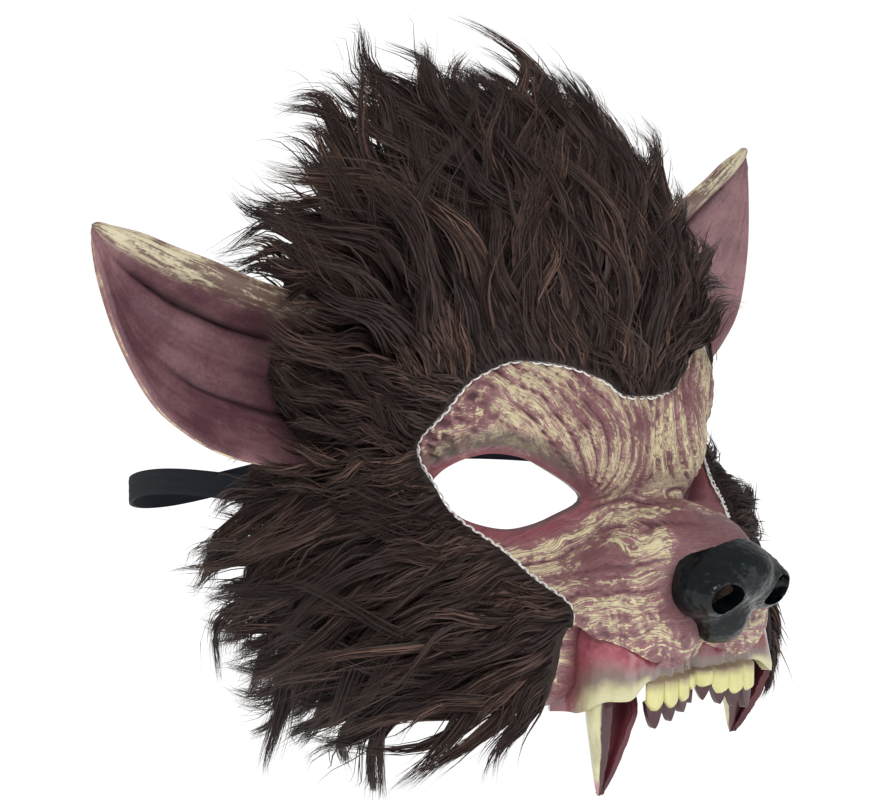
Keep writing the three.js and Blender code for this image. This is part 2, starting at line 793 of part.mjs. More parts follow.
const shellSolid = faceSurface(0)
  .subtract(faceSurface(-latexWall))
  .intersect(sideTrim)
  .subtract(eyeCut(1))
  .subtract(eyeCut(-1))
  .subtract(noseRoom)
  .subtract(rivetRooms);
const strapSolid = strapSolidOf(strapThickness, strapWidth).subtract(rivetRooms);

function insideFurOpening(x, z) {
  let inside = false;
  const outline = furOpeningOutline;
  for (let i = 0, j = outline.length - 1; i < outline.length; j = i, i += 1) {
    const crosses = outline[i].y > z !== outline[j].y > z;
    const edgeX = lerp(outline[i].x, outline[j].x, (z - outline[i].y) / (outline[j].y - outline[i].y));
    if (crosses && x < edgeX) inside = !inside;
  }
  return inside;
}

function surfaceAt(fromFront, round, level) {
  const direction = directionAt(fromFront, round, poleDip);
  return faceCentre.clone().addScaledVector(direction, reach(faceField, faceCentre, direction, level));
}

// The first angle from the front at which the fur has begun
function hairline(round) {
  const step = 0.02;
  let angle = 0.3;
  for (let p = surfaceAt(angle, round, 0); insideFurOpening(p.x, p.z) && angle < shellRim; angle += step) {
    p = surfaceAt(angle + step, round, 0);
  }
  return angle;
}

// Rows of locks from the hairline to the rear rim. Row is the share of that way, from and to
// the angles round the face in degrees, length and lift shares of a lock's, drop its hang.
const crownRows = [
  { row: 0.12, from: 34, to: 146, count: 5, length: 0.8, lift: 0.5, drop: 0 },
  { row: 0.36, from: 26, to: 154, count: 6, length: 0.95, lift: 0.62, drop: 0 },
  { row: 0.62, from: 24, to: 156, count: 7, length: 0.95, lift: 0.6, drop: 0 },
  { row: 0.9, from: 14, to: 166, count: 9, length: 1.1, lift: 0.5, drop: 0.1 },
];
const cheekRows = [
  { row: 0.16, from: -30, to: -68, count: 3, length: 0.9, lift: 0.35, drop: 1 },
  { row: 0.5, from: -12, to: -60, count: 4, length: 1, lift: 0.5, drop: 0.5 },
  { row: 0.86, from: -8, to: -64, count: 4, length: 0.9, lift: 0.5, drop: 0.3 },
];
// Locks lie flat low on the sides, and the fur is short and thin close to an ear
const flatSide = { lift: 0.35, from: 0.3, to: 1 };
const earShade = { near: 16, far: 58, length: 0.42, pile: 0.2 };
const fullCrown = { from: 0.25, to: 0.9 };

function byEar(p, least) {
  const near = smoothstep(p.distanceTo(nearEarRoot(p)), earShade.near, earShade.far);
  return lerp(least, 1, near);
}

function liftShare(round) {
  const upward = Math.sin(round);
  return upward > 0 ? lerp(flatSide.lift, 1, smoothstep(upward, flatSide.from, flatSide.to)) : 1;
}

// The depth of the pile over its backing: nothing at the hairline, full over crown and cheeks,
// low on the sides of the head and thin round an ear
const hairlineAt = new Map();

function nearEarRoot(p) {
  const side = Math.sign(p.x);
  return vec(side * earRootX, earRootY, earRootZ + (side > 0 ? leftEarRaise : 0));
}

function pileDepth(fromFront, round) {
  const key = round.toFixed(4);
  if (!hairlineAt.has(key)) hairlineAt.set(key, hairline(round));
  const start = hairlineAt.get(key);
  const grown = smoothstep(fromFront, start - 0.02, start + pileGrowth);
  const upward = Math.sin(round);
  const crown = lerp(sidePile, crownPile, smoothstep(upward, fullCrown.from, fullCrown.to));
  const depth = upward > 0 ? crown : cheekPile;
  return depth * grown * byEar(surfaceAt(fromFront, round, 0), earShade.pile);
}

const furSurface = starSolid(
  faceField,
  faceCentre,
  (fromFront, round) => clearance + furBacking + pileDepth(Math.min(fromFront, shellRim), round),
  faceRingAngles,
  faceSegments,
  poleDip,
);
const backingSolid = furSurface.subtract(filledShell).intersect(sideTrim).subtract(furOpeningCut);

// A lock: a flattened horn that rises from the backing and lies over in the direction of flow
const lockRings = [
  { along: 0, wide: 0.7, thick: 0.8 },
  { along: 0.32, wide: 1, thick: 1 },
  { along: 0.68, wide: 0.66, thick: 0.6 },
];

const lockBend = { lift: 0.5, run: 0.35 };

function lockSolid(root, normal, flow, length, lift, width) {
  const bend = root.clone().addScaledVector(normal, lockBend.lift * length * lift);
  bend.addScaledVector(flow, lockBend.run * length);
  const tip = root.clone().addScaledVector(normal, length * lift);
  tip.addScaledVector(flow, length * (1 - lockBend.run * lift));
  const curve = new THREE.QuadraticBezierCurve3(root, bend, tip);
  const side = flow.clone().cross(normal).normalize();
  const rings = lockRings.map((row) => {
    const middle = curve.getPoint(row.along);
    const up = side.clone().cross(curve.getTangent(row.along)).normalize();
    const wide = 0.5 * row.wide * width;
    const thick = 0.5 * row.thick * lockThickness;
    return [
      middle.clone().addScaledVector(side, wide),
      middle.clone().addScaledVector(up, thick),
      middle.clone().addScaledVector(side, -wide),
      middle.clone().addScaledVector(up, -thick),
    ];
  });
  const grid = [rings[0].map(() => root), ...rings, rings[0].map(() => tip)];
  return solidOfTriangles(facets(grid, true, false));
}

// A repeatable number from 0 to 1 that differs from lock to lock
function scatter(seed) {
  const value = Math.sin(seed * 12.9898) * 43758.5453;
  return value - Math.floor(value);
}

// How each lock differs from the next: its sway, and the shares of its length and width
const vary = { sway: 0.5, low: 0.85, high: 1.15 };
const lockDepth = { backing: 0.5, pile: 0.6 };

function locksOf(rows, seed) {
  const locks = [];
  rows.forEach((row, tier) => {
    for (let i = 0; i < row.count; i += 1) {
      const key = seed + 31 * tier + i;
      const place = (i + 0.5 * (tier % 2) + 0.25) / row.count;
      const round = THREE.MathUtils.degToRad(lerp(row.from, row.to, place));
      const fromFront = lerp(hairline(round), shellRim, row.row);
      const deep = lockDepth.backing * furBacking + lockDepth.pile * pileDepth(fromFront, round);
      const root = surfaceAt(fromFront, round, clearance + deep);
      const normal = surfaceNormal(faceField, root);
      const flow = surfaceAt(fromFront + 0.1, round, 0);
      flow.sub(surfaceAt(fromFront - 0.05, round, 0)).normalize();
      const sideways = flow.clone().cross(normal);
      flow.addScaledVector(Z, -row.drop).addScaledVector(sideways, vary.sway * (scatter(key) - 0.5));
      flow.addScaledVector(normal, -flow.dot(normal)).normalize();
      const share = row.length * byEar(root, earShade.length) * lerp(vary.low, vary.high, scatter(key + 0.5));
      const width = lockWidth * lerp(vary.low, vary.high, scatter(key + 0.7));
      locks.push(lockSolid(root, normal, flow, lockLength * share, row.lift * liftShare(round), width));
    }
  });
  return locks;
}

const lockSeeds = { crown: 1, right: 211, left: 307 };
const halfTurn = 180;
const reachOut = 4 * headHalfWidth;
const lowFar = vec(-reachOut, -reachOut, -reachOut);
const highFar = vec(reachOut, reachOut, reachOut);
const aboveSplit = boxSolid(vec(-reachOut, -reachOut, furSplitZ + clearance / 2), highFar);
const belowSplit = boxSolid(lowFar, vec(reachOut, reachOut, furSplitZ - clearance / 2));
const rightHalf = boxSolid(lowFar, vec(-clearance, reachOut, reachOut));
const leftHalf = boxSolid(vec(clearance, -reachOut, -reachOut), highFar);
const earRooms = earSolid(1, clearance).add(earSolid(-1, clearance));
const strapRoom = strapSolidOf(strapThickness + 2 * clearance, strapWidth + 2 * clearance);

function furSolid(backing, locks, side) {
  const grown = locks.reduce((sum, lock) => sum.add(lock), backing);
  const fur = grown.intersect(side).subtract(filledShell);
  return fur.subtract(earRooms).subtract(rivetRooms).subtract(strapRoom);
}

const crownLocks = locksOf(crownRows, lockSeeds.crown);
const crownSolid = furSolid(backingSolid.intersect(aboveSplit), crownLocks, aboveSplit);
const rightCheekRows = cheekRows.map((row) => ({ ...row, from: halfTurn - row.from, to: halfTurn - row.to }));

function cheekSolid(half, rows, seed) {
  const side = belowSplit.intersect(half);
  return furSolid(backingSolid.intersect(side), locksOf(rows, seed), side);
}

// The pieces and their finishes
const finishes = {
  latex: { color: 0x7a4a50, roughness: 0.55 },
  ear: { color: 0x8a5a60, roughness: 0.5 },
  nose: { color: 0x121618, roughness: 0.2 },
  gum: { color: 0x8c3a44, roughness: 0.25 },
  tooth: { color: 0xd2cc92, roughness: 0.3 },
  fur: { color: 0x3a2a26, roughness: 0.9 },
  elastic: { color: 0x14161c, roughness: 0.85 },
  rivet: { color: 0x2a2a2e, roughness: 0.4 },
};

const mask = new THREE.Group();

function addPiece(name, solid, finish) {
  const material = new THREE.MeshStandardMaterial({ metalness: 0, ...finishes[finish] });
  const piece = new THREE.Mesh(geometryOf(solid), material);
  piece.name = name;
  mask.add(piece);
}

addPiece('mask_shell', shellSolid, 'latex');
addPiece('nose', noseSolid, 'nose');
addPiece('gum_band', gumSolid.subtract(wallRoom).subtract(fangRooms), 'gum');
addPiece('upper_teeth', teethSolid, 'tooth');
addPiece('fang_right', fangSolid(-1, fangLengths.right, 0), 'tooth');
addPiece('fang_left', fangSolid(1, fangLengths.left, 0), 'tooth');
addPiece('ear_right', rightEar, 'ear');
addPiece('ear_left', leftEar, 'ear');
addPiece('crown_fur', crownSolid, 'fur');
addPiece('cheek_fur_right', cheekSolid(rightHalf, rightCheekRows, lockSeeds.right), 'fur');
addPiece('cheek_fur_left', cheekSolid(leftHalf, cheekRows, lockSeeds.left), 'fur');
addPiece('head_strap', strapSolid, 'elastic');
const rivet = rivetGeometry(rivetShankRadius, rivetHeadRadius, rivetGrip, rivetHeadThickness);
addPiece('strap_rivet_right', solidOf(rivet.clone().applyMatrix4(rivetMatrix(-1))), 'rivet');
addPiece('strap_rivet_left', solidOf(rivet.clone().applyMatrix4(rivetMatrix(1))), 'rivet');

export default mask;
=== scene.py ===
import math

import bpy
import numpy as np
from mathutils import Matrix, Vector


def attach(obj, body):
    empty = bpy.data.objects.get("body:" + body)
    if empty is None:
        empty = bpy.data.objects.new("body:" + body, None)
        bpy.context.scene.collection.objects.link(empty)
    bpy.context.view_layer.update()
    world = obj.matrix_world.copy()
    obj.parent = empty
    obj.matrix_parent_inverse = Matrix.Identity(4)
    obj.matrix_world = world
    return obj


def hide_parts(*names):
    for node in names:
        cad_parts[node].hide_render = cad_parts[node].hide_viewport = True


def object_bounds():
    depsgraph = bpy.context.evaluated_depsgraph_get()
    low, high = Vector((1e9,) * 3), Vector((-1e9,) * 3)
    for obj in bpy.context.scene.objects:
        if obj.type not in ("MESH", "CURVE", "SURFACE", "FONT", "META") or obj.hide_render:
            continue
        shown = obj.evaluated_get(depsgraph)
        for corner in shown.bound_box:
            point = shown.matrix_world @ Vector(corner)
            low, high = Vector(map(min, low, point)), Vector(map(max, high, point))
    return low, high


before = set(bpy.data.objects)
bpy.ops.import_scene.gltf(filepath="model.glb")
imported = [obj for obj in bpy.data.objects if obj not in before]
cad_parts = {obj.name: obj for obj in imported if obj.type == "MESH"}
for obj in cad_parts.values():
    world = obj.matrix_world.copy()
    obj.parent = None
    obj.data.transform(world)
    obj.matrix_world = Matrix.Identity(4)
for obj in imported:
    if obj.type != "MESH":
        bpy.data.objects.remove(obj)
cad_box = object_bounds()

MM = 0.001
HEAD = (70.0, 82.0, 80.0)
MUZZLE = (45.0, 62.0, 50.0)
LATEX_WALL = 3.0
CLEARANCE = 0.3
FACE_CENTRE = np.array([0.0, 0.55 * HEAD[1], -0.06 * HEAD[2]])
POLE_DIP = 7.0
SHELL_RIM = math.radians(104)
FACE_SEGMENTS = 360
FACE_RINGS = 300
INSIDE_SEGMENTS = 144
INSIDE_RINGS = 110

# side, y, z, half width, depth and height as shares, turn, softness of the join, adds or carves
head_forms = [
    (0, 0.76, 0.19, 1, 1, 1, 0, 1, True),
    (0.6, 0.15, -0.2, 0.3, 0.27, 0.26, 20, 14, True),
    (0.56, 0.4, -0.42, 0.3, 0.4, 0.32, 0, 16, True),
]
muzzle_forms = [
    (0, -0.38, -0.27, 0.4, 0.5, 0.26, 0, 9, True),
    (0.3, -0.31, -0.66, 0.56, 0.41, 0.5, 26, 8, True),
    (0.84, 0.02, -0.95, 0.42, 0.46, 0.6, 0, 12, True),
]
brow_forms = [
    (0.64, -0.165, 0.04, 0.41, 0.21, 0.18, 26, 7, False),
    (0.22, -0.09, 0.17, 0.18, 0.17, 0.2, 20, 7, True),
    (0.5, 0.08, 0.33, 0.32, 0.15, 0.19, 30, 9, True),
    (0.5, 0.04, -0.14, 0.34, 0.12, 0.06, 26, 7, True),
]


def triples(x, y, z):
    """Points or directions from three coordinates, each one number or one for each point."""
    return np.stack(np.broadcast_arrays(x, y, z), -1)


def forms_of(rows, size, shift=(0, 0, 0)):
    forms = []
    for side, y, z, wide, deep, tall, turn, blend, adds in rows:
        centre = (side * size[0] + shift[0], y * size[1] + shift[1], z * size[2] + shift[2])
        half = (wide * size[0], deep * size[1], tall * size[2])
        turn = math.radians(turn)
        forms.append((centre, half, math.cos(turn), math.sin(turn), blend, adds))
    return forms


def soft_min(a, b, blend):
    mix = np.maximum(blend - np.abs(a - b), 0) / blend
    return np.minimum(a, b) - mix * mix * blend / 4


def field_of(forms):
    """Gives each point's distance from forms that run softly into each other."""
    def field(points):
        total = None
        for centre, half, cos, sin, blend, adds in forms:
            x = np.abs(points[:, 0]) - centre[0]
            y = points[:, 1] - centre[1]
            u = (x * cos + y * sin) / half[0]
            v = (y * cos - x * sin) / half[1]
            w = (points[:, 2] - centre[2]) / half[2]
            near = np.sqrt(u * u + v * v + w * w)
            steep = np.sqrt((u / half[0]) ** 2 + (v / half[1]) ** 2 + (w / half[2]) ** 2)
            distance = near * (near - 1) / np.maximum(steep, 1e-9)
            if total is None:
                total = distance
            elif adds:
                total = soft_min(total, distance, blend)
            else:
                total = -soft_min(-total, distance, blend)
        return total
    return field


face = field_of(forms_of(head_forms, HEAD) + forms_of(muzzle_forms, MUZZLE) + forms_of(brow_forms, HEAD))


RAY_STRIDE = 6.0
HALVINGS = 14


def reach(field, start, rays, level=0.0):
    """How far each ray runs from its start until the field passes a level."""
    limit = 3 * HEAD[1]
    start = np.broadcast_to(np.asarray(start, float), rays.shape)
    level = np.broadcast_to(np.asarray(level, float), (len(rays),))
    far = np.full(len(rays), RAY_STRIDE)
    live = np.arange(len(rays))
    while len(live):
        at = field(start[live] + rays[live] * far[live, None]) - level[live]
        live = live[(at < 0) & (far[live] < limit)]
        far[live] += RAY_STRIDE
    near = far - RAY_STRIDE
    for _ in range(HALVINGS):
        middle = (near + far) / 2
        inside = field(start + rays * middle[:, None]) < level
        near = np.where(inside, middle, near)
        far = np.where(inside, far, middle)
    return (near + far) / 2


def unit(vectors):
    return vectors / np.maximum(np.linalg.norm(vectors, axis=-1, keepdims=True), 1e-9)


SLOPE_STEP = 0.4


def slope_of(field, points):
    """The outward direction of the field at each point."""
    axes = np.eye(3) * SLOPE_STEP
    return unit(np.stack([field(points + axis) - field(points - axis) for axis in axes], -1))


def corners_of(piece):
    flat = np.empty(3 * len(piece.data.vertices))
    piece.data.vertices.foreach_get("co", flat)
    return flat.reshape(-1, 3) / MM


def set_corners(piece, points):
    piece.data.vertices.foreach_set("co", (np.asarray(points, float) * MM).ravel())
    piece.data.update()


def only(piece):
    bpy.ops.object.select_all(action="DESELECT")
    piece.select_set(True)
    bpy.context.view_layer.objects.active = piece


def star_form(name, field, centre, level, segments, rings, dip=0.0):
    """A sphere whose corners are moved out along their rays onto a field's surface."""
    bpy.ops.object.select_all(action="DESELECT")
    bpy.ops.mesh.primitive_uv_sphere_add(
        segments=segments, ring_count=rings, rotation=(math.radians(90 + dip), 0, 0))
    piece = bpy.context.object
    piece.name = name
    bpy.ops.object.transform_apply(rotation=True)
    rays = unit(corners_of(piece))
    levels = level(rays) if callable(level) else level
    set_corners(piece, centre + rays * reach(field, centre, rays, levels)[:, None])
    return piece


def use_tool(piece, tool, operation):
    """Cuts a piece with a closed tool, or keeps what is inside it."""
    own_slots = len(piece.data.materials)
    cut = piece.modifiers.new("cut", "BOOLEAN")
    cut.object = tool
    cut.operation = operation
    cut.solver = "MANIFOLD"
    only(piece)
    bpy.ops.object.modifier_apply(modifier=cut.name)
    bpy.data.objects.remove(tool)
    while len(piece.data.materials) > own_slots:
        piece.data.materials.pop()
    if own_slots < 2:
        piece.data.polygons.foreach_set("material_index", np.zeros(len(piece.data.polygons), np.int32))


def keep_largest(piece):
    """Drops every loose part of a piece but the largest."""
    name = piece.name
    only(piece)
    bpy.ops.mesh.separate(type="LOOSE")
    parts = sorted(bpy.context.selected_objects, key=lambda part: len(part.data.vertices))
    for part in parts[:-1]:
        bpy.data.objects.remove(part)
    parts[-1].name = name
    return parts[-1]


def turn_outwards(piece):
    """Turns all faces of a closed tool outwards."""
    only(piece)
    bpy.ops.object.mode_set(mode="EDIT")
    bpy.ops.mesh.select_all(action="SELECT")
    bpy.ops.mesh.normals_make_consistent(inside=False)
    bpy.ops.object.mode_set(mode="OBJECT")


def prism(outline, push):
    """A closed tool: a flat outline, pushed along a vector."""
    bpy.ops.object.select_all(action="DESELECT")
    bpy.ops.mesh.primitive_circle_add(vertices=len(outline), fill_type="NGON")
    tool = bpy.context.object
    set_corners(tool, outline)
    bpy.ops.object.mode_set(mode="EDIT")
    bpy.ops.mesh.select_all(action="SELECT")
    bpy.ops.mesh.extrude_region_move(TRANSFORM_OT_translate={"value": Vector(push) * MM})
    bpy.ops.object.mode_set(mode="OBJECT")
    turn_outwards(tool)
    return tool


def curve_through(rows, count, closed=False):
    """Points on a smooth curve through listed rows."""
    rows = np.asarray(rows, float)
    if closed:
        padded = np.vstack([rows[-1:], rows, rows[:2]])
    else:
        padded = np.vstack([2 * rows[0] - rows[1], rows, 2 * rows[-1] - rows[-2]])
    spans = len(padded) - 3
    place = np.linspace(0, spans, count, endpoint=not closed)
    first = np.minimum(place.astype(int), spans - 1)
    t = (place - first)[:, None]
    a, b, c, d = (padded[first + i] for i in range(4))
    bend = 2 * a - 5 * b + 4 * c - d
    twist = 3 * b - a - 3 * c + d
    return 0.5 * (2 * b + (c - a) * t + bend * t ** 2 + twist * t ** 3)


def step_up(value, low, high):
    share = np.clip((value - low) / (high - low), 0, 1)
    return share * share * (3 - 2 * share)


def hump(away, width):
    """1 at the middle of a rounded ridge, falling to 0 on both sides."""
    return np.exp(-((away / width) ** 2))


# The lip and the rear rim seen from the side, depth and height as shares
lip_rows = [(-0.95, -0.92), (-0.71, -0.91), (-0.67, -0.84), (-0.63, -0.765), (-0.56, -0.705),
            (-0.51, -0.69), (-0.42, -0.64)]
rim_rows = [(-0.27, -0.665), (0.1, -0.69), (0.45, -0.66), (0.7, -0.5), (0.8, -0.1), (0.83, 0.4),
            (0.84, 1.4)]
lip_line = np.array(lip_rows) * MUZZLE[1:]
rim_line = np.array(rim_rows) * HEAD[1:]
under_edge = curve_through(np.vstack([lip_line, rim_line]), 90)
side_outline = np.vstack([[(-2 * MUZZLE[1], rim_line[-1, 1]), (-2 * MUZZLE[1], lip_line[0, 1])], under_edge])


def trim_tool():
    across = 2.4 * HEAD[0]
    outline = [(-across / 2, y, z) for y, z in side_outline]
    return prism(outline, (across, 0, 0))


# The eye hole: an almond along an axis turned back towards the temple
EYE_SIZE = (42.5, 22.0)
EYE_INNER = np.array([19.0, -7.0, 1.2])
EYE_TURN = math.radians(26)
EYE_TILT = math.radians(6)
eye_rows = [(0, 0), (0.33, 0.4), (0.63, 0.51), (0.85, 0.37), (1, 0.07), (0.955, -0.14), (0.81, -0.35),
            (0.61, -0.46), (0.41, -0.46), (0.165, -0.3)]
eye_loop = curve_through(np.array(eye_rows) * EYE_SIZE, 60, closed=True)
eye_facing = np.array([math.sin(EYE_TURN), -math.cos(EYE_TURN), 0])
eye_level = np.array([math.cos(EYE_TURN), math.sin(EYE_TURN), 0])
eye_along = eye_level * math.cos(EYE_TILT) + np.array([0, 0, math.sin(EYE_TILT)])
eye_rise = np.cross(eye_facing, eye_along)


def eye_tool(side):
    start = EYE_INNER - eye_facing * HEAD[1] / 2
    outline = start + eye_loop[:, :1] * eye_along + eye_loop[:, 1:] * eye_rise
    return prism(outline * (side, 1, 1), eye_facing * HEAD[1] * (side, 1, 1))


def lattice(cells):
    """A repeatable number from 0 to 1 for each cell of a grid."""
    mixed = cells[..., 0] * 73856093 ^ cells[..., 1] * 19349663 ^ cells[..., 2] * 83492791
    mixed = (mixed ^ (mixed >> 13)) * 1274126177 & 0x7FFFFFFF
    return ((mixed ^ (mixed >> 16)) & 0xFFFF) / 65535.0


def noise(points):
    base = np.floor(points).astype(np.int64)
    part = points - base
    part = part * part * (3 - 2 * part)
    total = 0.0
    for corner in np.ndindex(2, 2, 2):
        weight = np.prod(np.where(corner, part, 1 - part), axis=-1)
        total = total + weight * lattice(base + corner)
    return total


def cell_walls(points):
    """0 on the walls between rounded cells, rising towards their middles."""
    base = np.floor(points).astype(np.int64)
    first = np.full(len(points), 9.0)
    second = np.full(len(points), 9.0)
    for corner in np.ndindex(3, 3, 3):
        cell = base + corner - 1
        seed = cell + np.stack([lattice(cell + 11), lattice(cell + 37), lattice(cell + 71)], -1)
        away = np.linalg.norm(seed - points, axis=1)
        second = np.minimum(second, np.maximum(first, away))
        first = np.minimum(first, away)
    return second - first


def ridges(place):
    """Rounded ridges one apart with narrow grooves between them."""
    return 1 - np.abs(2 * (place - np.floor(place)) - 1) ** 2.5


def eye_plane(points):
    offset = np.abs(points) * (1, 0, 0) + points * (0, 1, 1) - EYE_INNER
    return offset @ eye_along, offset @ eye_rise


def eye_gap(points):
    """How far a point lies outside the eye hole's edge, seen square to it."""
    along, rise = eye_plane(points)
    gap = np.full(len(points), 99.0)
    for x, y in curve_through(np.array(eye_rows) * EYE_SIZE, 90, closed=True):
        gap = np.minimum(gap, np.hypot(along - x, rise - y))
    return gap


BROW_FAN = 40.0
BROW_BOW = 0.0171
BROW_PITCHES = (23, 7.6)
MUZZLE_PITCHES = (7.4, 2.5)
MUZZLE_RELIEF = 1.35
BROW_RELIEF_EXTRA = 0.65
SKIN_UNEVEN = 0.35
NOSE_PLACE = np.array([0, -46.0, -21.0])
BY_NOSE = (20, 16, 17)
RELIEF_END = 60


def skin(points):
    """Across and along the cast folds in millimetres, how proud a point stands from 0 to 1, the
    height of the relief, and how far the folds have faded out."""
    along, rise = eye_plane(points)
    x = np.abs(points[:, 0])
    y = points[:, 1]
    z = points[:, 2]
    out = np.hypot(along, rise)
    turn = np.degrees(np.arctan2(rise, along))
    fan = BROW_FAN + (turn - BROW_FAN) / np.maximum(1 - BROW_BOW * out, 0.22)
    wander = noise(points * 0.09 + 3.1)
    fine_wander = noise(points * 0.3 + 7.7)
    brow = step_up(rise + 0.25 * along, -2, 3) * step_up(fan, 24, 44)
    brow_place = fan + 14 * wander + 3 * fine_wander
    brow_height = 0.62 * ridges(brow_place / BROW_PITCHES[0]) + 0.38 * ridges(brow_place / BROW_PITCHES[1])
    level = z + 0.42 * np.logaddexp(0, (y + 27) / 6) * 6 + 0.06 * x + 6 * wander + 1.6 * fine_wander
    muzzle_height = 0.6 * ridges(level / MUZZLE_PITCHES[0]) + 0.4 * ridges(level / MUZZLE_PITCHES[1])
    stretched = points @ np.array([[0.24, 0, 0], [0, 0.13, -0.11], [0, 0.07, 0.27]])
    cells = cell_walls(stretched + 0.6 * noise(points * 0.25)[:, None])
    cell_height = 1 - step_up(cells, 0.03, 0.4)
    pads = step_up(-z, 24, 30) * step_up(-y, 2, 12)
    temple = step_up(x, 44, 52) * step_up(z, 4, 12)
    patch = np.clip(0.5 * pads + temple, 0, 1)
    striped = brow * brow_height + (1 - brow) * muzzle_height
    proud = (1 - patch) * striped + patch * cell_height
    across = brow * brow_place * 0.4 + (1 - brow) * level
    run = brow * out + (1 - brow) * y
    fade = step_up(eye_gap(points), 1.2, 5.0)
    by_nose = np.linalg.norm((points - NOSE_PLACE) / BY_NOSE, axis=1)
    fade = fade * step_up(by_nose, 0.9, 1.25)
    deep = MUZZLE_RELIEF + BROW_RELIEF_EXTRA * brow
    uneven = SKIN_UNEVEN * (noise(points * 0.45) - 0.5)
    height = deep * (1 - 0.5 * pads) * (proud - 0.5) * fade + uneven
    return across, run, proud, height, fade


shell = star_form("mask_shell_latex", face, FACE_CENTRE, 0.0, FACE_SEGMENTS, FACE_RINGS, POLE_DIP)
skin_points = corners_of(shell)
front_side = skin_points[:, 1] < RELIEF_END
lifted = np.zeros(len(skin_points))
lifted[front_side] = skin(skin_points[front_side])[3]
set_corners(shell, skin_points + slope_of(face, skin_points) * lifted[:, None])
inside = star_form("inside", face, FACE_CENTRE, -LATEX_WALL, INSIDE_SEGMENTS, INSIDE_RINGS, POLE_DIP)
use_tool(shell, inside, "DIFFERENCE")
use_tool(shell, trim_tool(), "INTERSECT")
for side in (1, -1):
    use_tool(shell, eye_tool(side), "DIFFERENCE")
shell = keep_largest(shell)


class Paint:
    """A value in a finish's node tree. Arithmetic on it adds the Math nodes."""

    def __init__(self, tree, socket=None):
        self.tree = tree
        self.socket = socket

    def node(self, kind, settings=None, values=None, output=0):
        """Adds a node: its settings first, then the values or links of its sockets."""
        made = self.tree.nodes.new(kind)
        for name, value in (settings or {}).items():
            setattr(made, name, value)
        for name, value in (values or {}).items():
            if isinstance(value, Paint):
                self.tree.links.new(value.socket, made.inputs[name])
            else:
                made.inputs[name].default_value = value
        return Paint(self.tree, made.outputs[output])

    def maths(self, operation, a, b=0.0):
        return self.node("ShaderNodeMath", {"operation": operation}, {0: a, 1: b})

    def __add__(self, other):
        return self.maths("ADD", self, other)

    __radd__ = __add__

    def __mul__(self, other):
        return self.maths("MULTIPLY", self, other)

    __rmul__ = __mul__

    def __sub__(self, other):
        return self.maths("SUBTRACT", self, other)

    def __rsub__(self, other):
        return self.maths("SUBTRACT", other, self)

    def between(self, low, high):
        """0 below low, 1 above high, smooth between them."""
        return self.node("ShaderNodeMapRange", {"interpolation_type": "SMOOTHSTEP"},
                         {"Value": self, "From Min": low, "From Max": high})

    def mix(self, low, high):
        """A colour from low to high by this value."""
        low = low if isinstance(low, Paint) else (*low, 1)
        high = high if isinstance(high, Paint) else (*high, 1)
        return self.node("ShaderNodeMix", {"data_type": "RGBA"}, {0: self, 6: low, 7: high}, output=2)

    def attribute(self, name):
        """The three numbers of a piece's own attribute."""
        vector = self.node("ShaderNodeAttribute", {"attribute_name": name}, output=1)
        return [self.node("ShaderNodeSeparateXYZ", values={0: vector}, output=i) for i in range(3)]

    def grain(self, place, scale, detail=3.0, rough=0.6, warp=0.0):
        return self.node("ShaderNodeTexNoise", values={
            "Vector": place, "Scale": scale, "Detail": detail, "Roughness": rough, "Distortion": warp})

    def place(self):
        return self.node("ShaderNodeTexCoord", output=3)

    def triple(self, x, y, z=0.0):
        return self.node("ShaderNodeCombineXYZ", values={0: x, 1: y, 2: z})

    def stretched(self, place, scale):
        return self.node("ShaderNodeVectorMath", {"operation": "MULTIPLY"}, {0: place, 1: scale})

    def bump(self, height, depth, strength=1.0):
        return self.node("ShaderNodeBump", values={
            "Strength": strength, "Distance": depth * MM, "Height": height})


def finish_of(name, dress, **constants):
    """A material whose Principled shader takes constants, and links from the dress function."""
    material = bpy.data.materials.new(name)
    material.use_nodes = True
    tree = material.node_tree
    shader = tree.nodes["Principled BSDF"]
    for socket, value in constants.items():
        shader.inputs[socket.replace("_", " ")].default_value = value
    for socket, value in dress(Paint(tree)).items():
        tree.links.new(value.socket, shader.inputs[socket])
    return material


def store(piece, name, columns):
    """Keeps three numbers for each corner, for the finish to read."""
    data = np.stack(columns, -1).astype(np.float32)
    piece.data.attributes.new(name, "FLOAT_VECTOR", "POINT").data.foreach_set("vector", data.ravel())


def smooth(piece, angle=40):
    only(piece)
    bpy.ops.object.shade_smooth_by_angle(angle=math.radians(angle))


def carry(piece, slot, *nodes):
    """The piece moves with the mask and stands for these nodes. The slot is not used."""
    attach(piece, "root")
    if nodes:
        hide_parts(*nodes)


# Deep mauve for the painted shade in the grooves between the folds
GROOVE_SHADE_DARK = (0.075, 0.03, 0.036)
LATEX_MAUVE = (0.185, 0.07, 0.08)
LATEX_PINK = (0.31, 0.15, 0.165)
LATEX_CREAM = (0.66, 0.6, 0.36)
# Olive-grey for the painted shade under the brow
BROW_SHADE_OLIVE = (0.095, 0.09, 0.062)
LID_RED = (0.24, 0.062, 0.078)
BARE_MAROON = (0.1, 0.014, 0.022)


